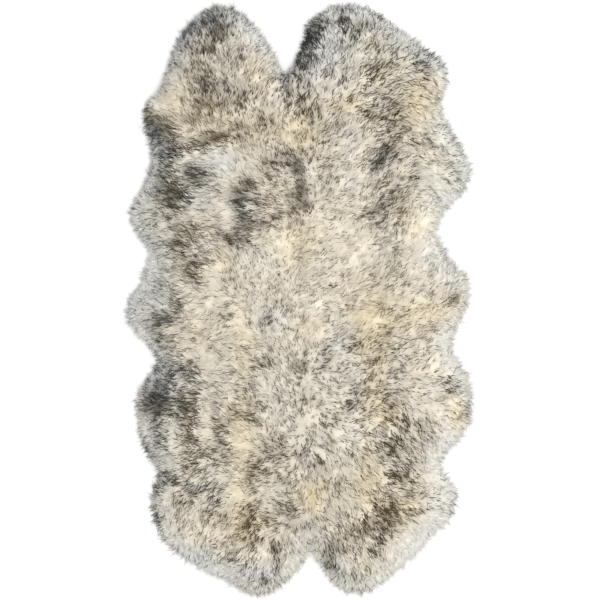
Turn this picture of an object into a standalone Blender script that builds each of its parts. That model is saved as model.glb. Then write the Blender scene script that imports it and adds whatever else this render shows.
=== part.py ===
"""A sheepskin rug of four pelts, sewn two by two with their heads outward, lying flat.

Metres, +Z up. The skin side lies on z = 0, the rug's length runs along Y and its middle is over the origin.
Each pelt is one closed solid: a lumpy slab of fleece with a row of wool locks along its free edge.
"""

import random
from collections import namedtuple
from math import floor, radians, sqrt

import bmesh
import bpy
from mathutils import Vector, noise
from mathutils.geometry import delaunay_2d_cdt, intersect_point_line

for old in list(bpy.data.objects):
    bpy.data.objects.remove(old, do_unlink=True)

Pelt = namedtuple("Pelt", "name first_seam edge second_seam locks side end colour")
LockSection = namedtuple("LockSection", "out width height")

# How deep the fleece is
CROWN_HEIGHT = 0.047  # the pile away from the edge
RIM_HEIGHT = 0.017  # the pile where the skin ends
SHOULDER_WIDTH = 0.085  # how far in from the skin's edge it reaches full height
SEAM_DIP = 0.008  # the pile parts a little over a seam
SEAM_DIP_WIDTH = 0.045

# The tufts that make the pile lumpy, small ones on large ones
LARGE_TUFT = 0.085  # across
LARGE_TUFT_HEIGHT = 0.026
SMALL_TUFT = 0.046
SMALL_TUFT_HEIGHT = 0.013

# The locks of wool that fall over the skin's edge and lie on the floor
LOCK_LENGTH = 0.031
LENGTH_SPREAD = 0.22  # the share by which a lock may be longer or shorter
SWAY = 0.45  # how far a tip swings sideways, as a share of the length
SWAY_WAVE = 0.110  # along the edge, before the sway turns
CORNER_REACH = 0.080  # where two pelts meet, locks turn along the seam over this distance
CORNER_SHARE = 0.62  # and keep this share of their length
LOCK_SECTIONS = [
    LockSection(out=0.36, width=0.80, height=0.80),
    LockSection(out=0.74, width=0.52, height=0.46),
]

# The points that carry the slab's top: two rows inside the free edge, then an even lattice
ROW_INSETS = [0.013, 0.032]
LATTICE_STEP = 0.0225
LATTICE_CLEARANCE = 0.015  # from the lattice to the outline or a row

SEAM_GAP = 0.0004  # from pelt to pelt, straight across the rug or along it
SEAM_STEP = 0.024  # between slab points along a seam
CURVE_STEPS = 24  # points between two of a table's rows, before they are spaced evenly
SHARP_FROM = radians(60)  # fleece is shaded smooth over shallower edges

# The seams, from where all four pelts meet: across the rug, along it
SEAM_UP = [
    (0.003, 0.275),
    (-0.006, 0.370),
    (-0.016, 0.469),
    (-0.030, 0.575),
    (-0.044, 0.675),
]
SEAM_DOWN = [
    (0.003, 0.275),
    (0.011, 0.090),
    (0.015, -0.110),
    (0.022, -0.313),
    (0.029, -0.530),
    (0.038, -0.744),
]
SEAM_LEFT = [
    (0.003, 0.275),
    (-0.059, 0.258),
    (-0.130, 0.205),
    (-0.215, 0.168),
    (-0.340, 0.158),
    (-0.441, 0.141),
]
SEAM_RIGHT = [
    (0.003, 0.275),
    (0.128, 0.281),
    (0.284, 0.262),
    (0.403, 0.209),
]

# The skins' free edges, anticlockwise from seam to seam: across the rug, along it
EDGE_UPPER_LEFT = [
    (-0.044, 0.675),
    (-0.131, 0.803),
    (-0.190, 0.868),
    (-0.234, 0.891),
    (-0.300, 0.866),
    (-0.361, 0.783),
    (-0.410, 0.676),
    (-0.457, 0.590),
    (-0.431, 0.463),
    (-0.450, 0.353),
    (-0.497, 0.265),
    (-0.441, 0.141),
]
EDGE_UPPER_RIGHT = [
    (0.403, 0.209),
    (0.431, 0.294),
    (0.506, 0.400),
    (0.413, 0.594),
    (0.434, 0.703),
    (0.353, 0.778),
    (0.235, 0.863),
    (0.153, 0.897),
    (0.063, 0.863),
    (0.022, 0.775),
    (-0.044, 0.675),
]
EDGE_LOWER_LEFT = [
    (-0.441, 0.141),
    (-0.469, 0.041),
    (-0.508, -0.044),
    (-0.413, -0.194),
    (-0.475, -0.303),
    (-0.466, -0.413),
    (-0.409, -0.536),
    (-0.431, -0.644),
    (-0.375, -0.753),
    (-0.256, -0.828),
    (-0.134, -0.894),
    (-0.050, -0.847),
    (0.038, -0.744),
]
EDGE_LOWER_RIGHT = [
    (0.038, -0.744),
    (0.118, -0.859),
    (0.188, -0.888),
    (0.256, -0.847),
    (0.369, -0.741),
    (0.463, -0.628),
    (0.409, -0.509),
    (0.500, -0.378),
    (0.506, -0.269),
    (0.444, -0.141),
    (0.506, 0.028),
    (0.441, 0.116),
    (0.403, 0.209),
]

# Each pelt's edge runs from its first seam to its second. Side and end say which way it lies from
# the meeting point of all four: -1 is left or foot end, 1 is right or head end.
PELTS = [
    Pelt("pelt_upper_left", SEAM_UP, EDGE_UPPER_LEFT, SEAM_LEFT, 64, -1, 1, (0.48, 0.46, 0.41)),
    Pelt("pelt_upper_right", SEAM_RIGHT, EDGE_UPPER_RIGHT, SEAM_UP, 62, 1, 1, (0.56, 0.53, 0.45)),
    Pelt("pelt_lower_left", SEAM_LEFT, EDGE_LOWER_LEFT, SEAM_DOWN, 76, -1, -1, (0.54, 0.51, 0.44)),
    Pelt("pelt_lower_right", SEAM_DOWN, EDGE_LOWER_RIGHT, SEAM_RIGHT, 78, 1, -1, (0.62, 0.59, 0.51)),
]


def length_of(line):
    return sum((b - a).length for a, b in zip(line, line[1:]))


def curve_through(points):
    """A close row of points on the smooth curve through a table's rows."""
    knots = [Vector(point) for point in points]
    knots = [2 * knots[0] - knots[1], *knots, 2 * knots[-1] - knots[-2]]
    curve = []
    for before, start, stop, after in zip(knots, knots[1:], knots[2:], knots[3:]):
        for step in range(CURVE_STEPS):
            t = step / CURVE_STEPS
            bend = 2 * before - 5 * start + 4 * stop - after
            twist = 3 * (start - stop) + after - before
            curve.append(start + t * (stop - before + t * (bend + t * twist)) / 2)
    return [*curve, knots[-2]]


def spaced(curve, steps):
    """The curve again, with points at equal distances along it."""
    pitch = length_of(curve) / steps
    points, walked, wanted = [curve[0]], 0.0, pitch
    for a, b in zip(curve, curve[1:]):
        stretch = (b - a).length
        while walked + stretch >= wanted and len(points) < steps:
            points.append(a.lerp(b, (wanted - walked) / stretch))
            wanted += pitch
        walked += stretch
    return [*points, curve[-1]]


def seam_line(seam):
    curve = curve_through(seam)
    return spaced(curve, 2 * round(length_of(curve) / SEAM_STEP / 2))


def distance_to(lines, point):
    """How far a point is from the nearest of several lines."""
    nearest = float("inf")
    for line in lines:
        for a, b in zip(line, line[1:]):
            foot, share = intersect_point_line(point, a, b)
            foot = a.lerp(b, min(max(share, 0.0), 1.0))
            nearest = min(nearest, (point - foot).length)
    return nearest


def tuft(point, across, tall):
    """The height of a rounded tuft of wool, from its foot to its crown."""
    distances, _ = noise.voronoi(Vector((point.x / across, point.y / across, 0.0)))
    return tall * (1 - min(distances[0], 1.0) ** 2)


FREE_EDGES = [spaced(curve_through(pelt.edge), pelt.locks) for pelt in PELTS]
SEAMS = [seam_line(seam) for seam in (SEAM_UP, SEAM_DOWN, SEAM_LEFT, SEAM_RIGHT)]


def fleece_height(point):
    """How high the wool stands over a point of the skin."""
    inward = min(distance_to(FREE_EDGES, point) / SHOULDER_WIDTH, 1.0)
    shoulder = sqrt(1 - (1 - inward) ** 2)
    dip = SEAM_DIP * max(0.0, 1 - distance_to(SEAMS, point) / SEAM_DIP_WIDTH)
    lumps = tuft(point, LARGE_TUFT, LARGE_TUFT_HEIGHT) - LARGE_TUFT_HEIGHT / 2
    lumps += tuft(point, SMALL_TUFT, SMALL_TUFT_HEIGHT) - SMALL_TUFT_HEIGHT / 2
    return RIM_HEIGHT + shoulder * (CROWN_HEIGHT - RIM_HEIGHT - dip + lumps)


def raised(point, height):
    return Vector((point.x, point.y, height))


def loft(bm, row, places):
    """Joins a closed row of points to the next one with four-sided faces, and returns the next."""
    following = [bm.verts.new(place) for place in places]
    for i, vertex in enumerate(row):
        bm.faces.new((row[i - 1], vertex, following[i], following[i - 1]))
    return following


def add_lock(bm, root, direction, length):
    """A four-sided lock that grows from the four points of its root and tapers to a tip on the floor."""
    middle = (root[0].co + root[1].co) / 2
    section = root
    for part in LOCK_SECTIONS:
        places = []
        for corner in root:
            place = middle + part.width * (corner.co - middle) + part.out * length * direction
            place.z = part.height * corner.co.z
            places.append(place)
        section = loft(bm, section, places)
    tip = bm.verts.new(middle + length * direction)
    for i, vertex in enumerate(section):
        bm.faces.new((section[i - 1], vertex, tip))


def lock_direction(edge, i, seam_ends):
    """Away from the skin's edge, swaying to and fro, and along the seam where two pelts meet."""
    along = (edge[i + 1] - edge[i]).normalized()
    outward = Vector((along.y, -along.x))
    middle = (edge[i] + edge[i + 1]) / 2
    sway = SWAY * noise.noise(Vector((middle.x, middle.y, 0.0)) / SWAY_WAVE)
    direction = outward + sway * along
    for corner, seam_way in seam_ends:
        turn = max(0.0, 1 - (middle - corner).length / CORNER_REACH)
        direction = direction.lerp(seam_way, turn)
    return raised(direction.normalized(), 0.0)


def corner_share(point, seam_ends):
    """How much of its length a lock keeps, this near to where two pelts meet."""
    nearest = min((point - corner).length for corner, _ in seam_ends)
    return CORNER_SHARE + (1 - CORNER_SHARE) * min(nearest / CORNER_REACH, 1.0)


def inside(outline, point):
    """Whether a point lies within a closed outline, by the sides crossed on the way out of it."""
    crossed = False
    for a, b in zip(outline, outline[1:] + outline[:1]):
        if (a.y > point.y) != (b.y > point.y):
            crossed ^= point.x < a.x + (point.y - a.y) / (b.y - a.y) * (b.x - a.x)
    return crossed


def slab_points(outline, edge):
    """Where the slab's top is held up: in rows along the free edge and on a lattice between them."""
    ring = [outline + outline[:1]]
    rows = []
    for inset in ROW_INSETS:
        for before, point, after in zip(edge, edge[1:], edge[2:]):
            along = (after - before).normalized()
            place = point - inset * Vector((along.y, -along.x))
            if inside(outline, place) and distance_to(ring, place) > 0.9 * inset:
                rows.append(place)
    rise = LATTICE_STEP * sqrt(3) / 2
    xs, ys = [point.x for point in outline], [point.y for point in outline]
    lattice = []
    for j in range(floor(min(ys) / rise), floor(max(ys) / rise) + 1):
        for i in range(floor(min(xs) / LATTICE_STEP), floor(max(xs) / LATTICE_STEP) + 1):
            place = Vector(((i + j % 2 / 2) * LATTICE_STEP, j * rise))
            if inside(outline, place) and distance_to(ring, place) > LATTICE_CLEARANCE:
                if all((place - other).length > LATTICE_CLEARANCE for other in rows):
                    lattice.append(place)
    return rows + lattice


def pelt_mesh(pelt, rng):
    first, second = seam_line(pelt.first_seam), seam_line(pelt.second_seam)
    edge = spaced(curve_through(pelt.edge), pelt.locks)
    outline = first[:-1] + edge + second[-2:0:-1]
    seam_ends = [(seam[-1], (seam[-1] - seam[-2]).normalized()) for seam in (first, second)]

    bm = bmesh.new()
    skin = [bm.verts.new(raised(point, 0.0)) for point in outline]
    top = [bm.verts.new(raised(point, fleece_height(point))) for point in outline]

    # The wall round the slab: flat along the seams, and a lock from each step of the free edge
    for i, low in enumerate(skin):
        after = (i + 1) % len(skin)
        wall = (low, skin[after], top[after], top[i])
        step = i - len(first) + 1
        if 0 <= step < pelt.locks:
            reach = LOCK_LENGTH * (1 + LENGTH_SPREAD * rng.uniform(-1, 1))
            reach *= corner_share(outline[i], seam_ends)
            add_lock(bm, wall, lock_direction(edge, step, seam_ends), reach)
        else:
            bm.faces.new(wall)

    # The lumpy top, as triangles between the outline and the points inside it
    places = outline + slab_points(outline, edge)
    ring = list(range(len(outline)))
    places, _, triangles, sources, _, _ = delaunay_2d_cdt(places, [], [ring], 1, 1e-6)
    fleece = []
    for place, source in zip(places, sources):
        if source[0] < len(outline):
            fleece.append(top[source[0]])
        else:
            fleece.append(bm.verts.new(raised(place, fleece_height(place))))
    for triangle in triangles:
        bm.faces.new([fleece[i] for i in triangle])

    bm.faces.new(skin)
    bmesh.ops.recalc_face_normals(bm, faces=bm.faces)
    mesh = bpy.data.meshes.new(pelt.name)
    bm.to_mesh(mesh)
    bm.free()
    mesh.shade_smooth()
    mesh.set_sharp_from_angle(angle=SHARP_FROM)
    return mesh


def wool_material(name, colour):
    material = bpy.data.materials.new(name)
    material.use_nodes = True
    shader = material.node_tree.nodes["Principled BSDF"]
    shader.inputs["Base Color"].default_value = (*colour, 1.0)
    shader.inputs["Roughness"].default_value = 0.95
    shader.inputs["Metallic"].default_value = 0.0
    return material


rug = bpy.data.collections.new("sheepskin_rug")
bpy.context.scene.collection.children.link(rug)

rng = random.Random(4)
pelts = []
for pelt in PELTS:
    mesh = pelt_mesh(pelt, rng)
    mesh.materials.append(wool_material(pelt.name + "_wool", pelt.colour))
    made = bpy.data.objects.new(pelt.name, mesh)
    rug.objects.link(made)
    made.location = (pelt.side * SEAM_GAP / 2, pelt.end * SEAM_GAP / 2, 0.0)
    pelts.append(made)

# The tips of the locks settle where the middle of the rug is
corners = [vertex.co for made in pelts for vertex in made.data.vertices]
for axis in (0, 1):
    low, high = min(co[axis] for co in corners), max(co[axis] for co in corners)
    for made in pelts:
        made.location[axis] -= (low + high) / 2
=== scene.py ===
"""The looks of a sheepskin rug: four long-wool pelts sewn two by two, lying on a pale floor.

Metres, +Z up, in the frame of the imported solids. X runs across the rug and Y along it.
"""

from collections import namedtuple
from math import cos, pi, radians, sin

import bpy
import numpy as np
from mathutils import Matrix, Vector
from mathutils.bvhtree import BVHTree
from mathutils.geometry import delaunay_2d_cdt
from mathutils.kdtree import KDTree

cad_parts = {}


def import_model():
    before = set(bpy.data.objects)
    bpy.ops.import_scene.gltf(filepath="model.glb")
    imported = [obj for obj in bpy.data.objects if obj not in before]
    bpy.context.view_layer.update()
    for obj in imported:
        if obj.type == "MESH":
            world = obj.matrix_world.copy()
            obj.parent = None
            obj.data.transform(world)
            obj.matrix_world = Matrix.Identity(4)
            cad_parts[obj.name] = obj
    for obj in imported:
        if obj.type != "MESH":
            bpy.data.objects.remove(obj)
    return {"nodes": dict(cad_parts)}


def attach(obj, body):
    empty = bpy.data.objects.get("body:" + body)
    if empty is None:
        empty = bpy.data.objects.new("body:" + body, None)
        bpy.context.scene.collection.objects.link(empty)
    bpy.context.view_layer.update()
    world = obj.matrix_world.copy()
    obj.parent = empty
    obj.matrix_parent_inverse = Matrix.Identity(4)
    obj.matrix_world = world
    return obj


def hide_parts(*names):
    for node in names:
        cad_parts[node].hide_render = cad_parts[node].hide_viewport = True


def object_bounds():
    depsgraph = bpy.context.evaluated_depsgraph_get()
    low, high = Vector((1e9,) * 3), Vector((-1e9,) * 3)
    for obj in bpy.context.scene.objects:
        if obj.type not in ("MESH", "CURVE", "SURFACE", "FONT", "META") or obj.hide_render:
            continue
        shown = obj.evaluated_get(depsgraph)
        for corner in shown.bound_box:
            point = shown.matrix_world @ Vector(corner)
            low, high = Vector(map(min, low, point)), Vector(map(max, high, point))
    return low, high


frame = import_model()
solid_box = [list(corner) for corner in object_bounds()]


# ------------------------------------------------------------------------------------------------
# The hides. Each is one tanned sheepskin, 2 mm thick, trimmed along its natural outline, with the
# suede side down. They lie edge to edge, a thread's thickness above the floor, and carry the wool.

PELTS = ["upper_left", "upper_right", "lower_left", "lower_right"]
HIDE_LOW = 0.0010  # the suede side, which the seams' thread holds off the floor
HIDE_THICK = 0.0020
HIDE_TOP = HIDE_LOW + HIDE_THICK
HIDE_PITCH = 0.035  # between the points that carry the hide's faces
WALL_FROM = 0.015  # the solids' outer walls are at least this tall, and their rim locks lower
SAME_PLACE = 5  # decimal places of a metre that tell one corner from the next
ON_FLOOR = 0.0001  # a corner lower than this is on the floor
CLEAR = 0.45  # of the pitch is kept free between an outline and the points inside it
INSIDE_ONLY, MERGED = 1, 1e-7  # what a triangulation gives back, and how near places become one
CRISP_FROM = radians(50)  # edges as sharp as this aren't shaded round
MOTTLE_MM, NAP_MM = 71.43, 1.111  # across a mottle of the tan and a tuft of the brushed nap
SUEDE_PALE, SUEDE_TAN, SUEDE_EDGE = "#D9CBB0", "#BFA780", "#A98F69"


def hide_outline(pelt):
    """A pelt's skin edge and seams, anticlockwise: the corners of its solid under the outer wall."""
    mesh = frame["nodes"]["pelt_" + pelt].data
    corners = [tuple(np.round(vertex.co, SAME_PLACE)) for vertex in mesh.vertices]
    tall = {corner[:2] for corner in corners if corner[2] > WALL_FROM}
    sides = set()
    for face in mesh.polygons:
        ring = [corners[i] for i in face.vertices]
        if all(corner[2] < ON_FLOOR and corner[:2] in tall for corner in ring):
            sides.update(zip(ring, ring[1:] + ring[:1]))
    follows = {b: a for a, b in sides if (b, a) not in sides}
    start = min(follows)
    outline = [start]
    while follows[outline[-1]] != start:
        outline.append(follows[outline[-1]])
    return np.array(outline)[:, :2]


def inside(outline, places):
    """Which places lie inside a closed outline, by the sides crossed on the way out of it."""
    crossed = np.zeros(len(places), bool)
    x, y = places.T
    for (ax, ay), (bx, by) in zip(outline, np.roll(outline, -1, axis=0)):
        if ay != by:
            crossed ^= ((ay > y) != (by > y)) & (x < ax + (y - ay) / (by - ay) * (bx - ax))
    return crossed


def lattice(low, high, pitch):
    """Places in staggered rows, a pitch apart, over a stretch of the floor."""
    rise = pitch * 3**0.5 / 2
    rows = [
        (x + (j % 2) * pitch / 2, low[1] + j * rise)
        for j in range(int((high[1] - low[1]) / rise) + 1)
        for x in np.arange(low[0], high[0], pitch)
    ]
    return np.array(rows)


def tree_of(targets):
    """Places on the floor, ordered so that the nearest of them is found fast."""
    tree = KDTree(len(targets))
    for i, target in enumerate(targets):
        tree.insert((*target, 0), i)
    tree.balance()
    return tree


def nearest(tree, places):
    """The number of the tree's place nearest to each of these, and how far off it is."""
    found = [tree.find((*place, 0))[1:] for place in places]
    return np.array([i for i, _ in found]), np.array([far for _, far in found])


def filled(outline, pitch):
    """The places and triangles of a flat sheet inside an outline, with points a pitch apart."""
    spread = lattice(outline.min(0), outline.max(0), pitch)
    spread = spread[inside(outline, spread)]
    _, far = nearest(tree_of(outline), spread)
    places = [Vector(place) for place in [*outline, *spread[far > CLEAR * pitch]]]
    ring = list(range(len(outline)))
    places, _, faces, _, _, _ = delaunay_2d_cdt(places, [], [ring], INSIDE_ONLY, MERGED)
    return np.array(places), np.array(faces)


def laid(mesh, material):
    """An object of a mesh, with its finish, which rides on the rug's one body."""
    mesh.materials.append(material)
    made = bpy.data.objects.new(mesh.name, mesh)
    bpy.context.scene.collection.objects.link(made)
    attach(made, "root")
    return made


def piece(name, vertices, faces, material):
    """A smooth piece from its corners and faces."""
    mesh = bpy.data.meshes.new(name)
    mesh.from_pydata(vertices, [], faces)
    mesh.update()
    mesh.shade_smooth()
    return laid(mesh, material)


def slab(outline, pitch, low, tops):
    """A closed body: a flat underside at a height, a wall, and a top whose heights are worked out."""
    places, faces = filled(outline, pitch)
    count, rim = len(places), np.arange(len(outline))
    ahead = np.roll(rim, -1)
    upper = np.column_stack([places, tops(places)])
    lower = np.column_stack([places, np.full(count, low)])
    wall = np.column_stack([rim + count, ahead + count, ahead, rim])
    shell = [*faces.tolist(), *(faces[:, ::-1] + count).tolist(), *wall.tolist()]
    return np.concatenate([upper, lower]), shell


def crisp(made):
    """Keeps a body's shading apart where its top turns into its wall."""
    made.data.set_sharp_from_angle(angle=CRISP_FROM)


def linear(code):
    """A colour's sRGB hex code as linear red, green, blue and alpha."""
    shares = [int(code[i : i + 2], 16) / 255 for i in (1, 3, 5)]
    return (*[s / 12.92 if s <= 0.04045 else ((s + 0.055) / 1.055) ** 2.4 for s in shares], 1.0)


def add(tree, kind, inputs=None, stops=None, out=0, **settings):
    """Adds a node with its settings, its inputs set or linked and a ramp's stops, and gives one output."""
    made = tree.nodes.new("ShaderNode" + kind)
    for name, value in settings.items():
        setattr(made, name, value)
    for name, value in (inputs or {}).items():
        if isinstance(value, bpy.types.NodeSocket):
            tree.links.new(value, made.inputs[name])
        else:
            made.inputs[name].default_value = value
    for i, (place, code) in enumerate(stops or []):
        stop = made.color_ramp.elements[i] if i < 2 else made.color_ramp.elements.new(place)
        stop.position = place
        stop.color = linear(code)
    return made.outputs[out]


def finish_of(name):
    """A new material and its node tree, with its output and nothing else."""
    material = bpy.data.materials.new(name)
    material.use_nodes = True
    tree = material.node_tree
    for old in list(tree.nodes):
        if old.type != "OUTPUT_MATERIAL":
            tree.nodes.remove(old)
    return material, tree


def finished(material, shader):
    """The material, once its shader is the one that shows."""
    material.node_tree.links.new(shader, material.node_tree.nodes["Material Output"].inputs["Surface"])
    return material


def suede():
    """Alum-tanned suede: chalky and pale, mottled where the hide is thin, with a short brushed nap."""
    material, tree = finish_of("alum_tanned_suede")
    place = add(tree, "TexCoord", out="Object")
    mottled = {"Scale": 1000 / MOTTLE_MM, "Detail": 5.0, "Roughness": 0.6}
    mottle = add(tree, "TexNoise", {"Vector": place, **mottled})
    nap = add(tree, "TexNoise", {"Vector": place, "Scale": 1000 / NAP_MM, "Detail": 2.0})
    tan = [(0.30, SUEDE_EDGE), (0.46, SUEDE_TAN), (0.62, SUEDE_PALE)]
    shader = add(
        tree,
        "BsdfPrincipled",
        {
            "Base Color": add(tree, "ValToRGB", {"Fac": mottle}, stops=tan),
            "Roughness": add(tree, "MapRange", {"Value": nap, "To Min": 0.86, "To Max": 1.0}),
            "Normal": add(tree, "Bump", {"Strength": 0.35, "Distance": 0.0004, "Height": nap}),
            "Sheen Weight": 0.25,
            "Specular IOR Level": 0.2,
        },
    )
    return finished(material, shader)


OUTLINES = {pelt: hide_outline(pelt) for pelt in PELTS}
hide_finish = suede()
hides = {}
for pelt, outline in OUTLINES.items():
    shape = slab(outline, HIDE_PITCH, HIDE_LOW, lambda places: np.full(len(places), HIDE_TOP))
    hides[pelt] = piece("hide_" + pelt, *shape, hide_finish)
    crisp(hides[pelt])


# ------------------------------------------------------------------------------------------------
# The seams. The hides are butted and oversewn from the suede side with waxed linen thread, in two
# lines that cross where all four pelts meet. Each stitch goes round both edges, 3 mm in.

STITCH = 0.0055  # from one stitch to the next
STITCH_BITE = 0.0030  # from the seam to the needle's holes
THREAD_RADIUS = 0.00045
THREAD_SIDES = 4
SEAM_OWNERS = ["upper_left", "lower_right"]  # between them they have an edge on every seam
SEAM_REACH = 0.0012  # two hides' corners this near each other are on a seam
PLY_MM = 1.4286  # across a turn of the thread's ply
THREAD_ECRU, THREAD_WAX = "#C9B58D", "#A8936A"
# One stitch, seen along the seam: across it as a share of the bite, and up as a share of the hide
STITCH_TURN = [(1, 0.55), (0.55, 1), (-0.55, 1), (-1, 0.55), (-1, -0.55), (0, -1), (1, -0.55)]


def seam_run(pelt):
    """The stretch of a pelt's outline that is sewn to its neighbours, from end to end."""
    others = np.concatenate([OUTLINES[other] for other in PELTS if other != pelt])
    outline = OUTLINES[pelt]
    sewn = np.array([np.hypot(*(others - place).T).min() < SEAM_REACH for place in outline])
    first = next(i for i in range(len(sewn)) if sewn[i] and not sewn[i - 1])
    return np.roll(outline, -first, axis=0)[: sewn.sum()]


def evenly(line, pitch):
    """A line again, with its points a pitch apart along it."""
    walked = np.concatenate([[0.0], np.cumsum(np.hypot(*np.diff(line, axis=0).T))])
    at = np.linspace(0.0, walked[-1], round(walked[-1] / pitch) + 1)
    return np.column_stack([np.interp(at, walked, line[:, axis]) for axis in (0, 1)])


def oversewn(line):
    """A thread's tube, wound round a seam: over both hides, down, back under them and up."""
    turn = np.array(STITCH_TURN)
    places = evenly(line, STITCH / len(turn))
    ahead = np.gradient(places, axis=0)
    ahead /= np.hypot(*ahead.T)[:, None]
    across = np.column_stack([ahead[:, 1], -ahead[:, 0]])
    step = turn[np.arange(len(places)) % len(turn)]
    middle, tall = HIDE_LOW + HIDE_THICK / 2, HIDE_THICK / 2 + THREAD_RADIUS
    thread = np.column_stack([places + STITCH_BITE * step[:, :1] * across, middle + tall * step[:, 1]])
    way = np.gradient(thread, axis=0)
    way /= np.linalg.norm(way, axis=1)[:, None]
    along = np.column_stack([ahead, np.zeros(len(ahead))])
    out = np.cross(way, along)
    out /= np.linalg.norm(out, axis=1)[:, None]
    side = np.cross(way, out)
    angles = 2 * pi * np.arange(THREAD_SIDES) / THREAD_SIDES
    rings = thread[:, None] + THREAD_RADIUS * (
        np.cos(angles)[None, :, None] * out[:, None] + np.sin(angles)[None, :, None] * side[:, None]
    )
    ring = np.arange(THREAD_SIDES)
    after = np.roll(ring, -1)
    span = np.column_stack([ring, after, after + THREAD_SIDES, ring + THREAD_SIDES])
    starts = THREAD_SIDES * np.arange(len(thread) - 1)
    faces = (span[None] + starts[:, None, None]).reshape(-1, 4).tolist()
    faces.append(ring[::-1].tolist())
    faces.append((ring + THREAD_SIDES * (len(thread) - 1)).tolist())
    return rings.reshape(-1, 3), faces


def waxed_thread():
    """Waxed linen: ecru, darker where the wax has picked up dust, with a faint shine on the twist."""
    material, tree = finish_of("waxed_linen_thread")
    place = add(tree, "TexCoord", out="Object")
    ply = add(tree, "TexNoise", {"Vector": place, "Scale": 1000 / PLY_MM, "Detail": 1.0})
    colour = add(tree, "ValToRGB", {"Fac": ply}, stops=[(0.35, THREAD_WAX), (0.65, THREAD_ECRU)])
    raised = add(tree, "Bump", {"Strength": 0.3, "Distance": 0.0002, "Height": ply})
    return finished(
        material, add(tree, "BsdfPrincipled", {"Base Color": colour, "Roughness": 0.6, "Normal": raised})
    )


thread_finish = waxed_thread()
for pelt, name in zip(SEAM_OWNERS, ["seam_head", "seam_foot"]):
    seam = piece(name, *oversewn(seam_run(pelt)), thread_finish)


# ------------------------------------------------------------------------------------------------
# The wool's colours. It is cream, yellow with lanolin in places and cool towards the rim, and its
# tips are dark in the patches that the sheep had. Its lightness also holds painted shade, which dims the
# rim most on the upper left, and painted light. The underwool and the locks both go by these marks.

PIXEL = 0.003125  # of the photograph, on the rug
MIDDLE_PIXEL = (298.5, 300.0)  # over the rug's middle

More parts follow.
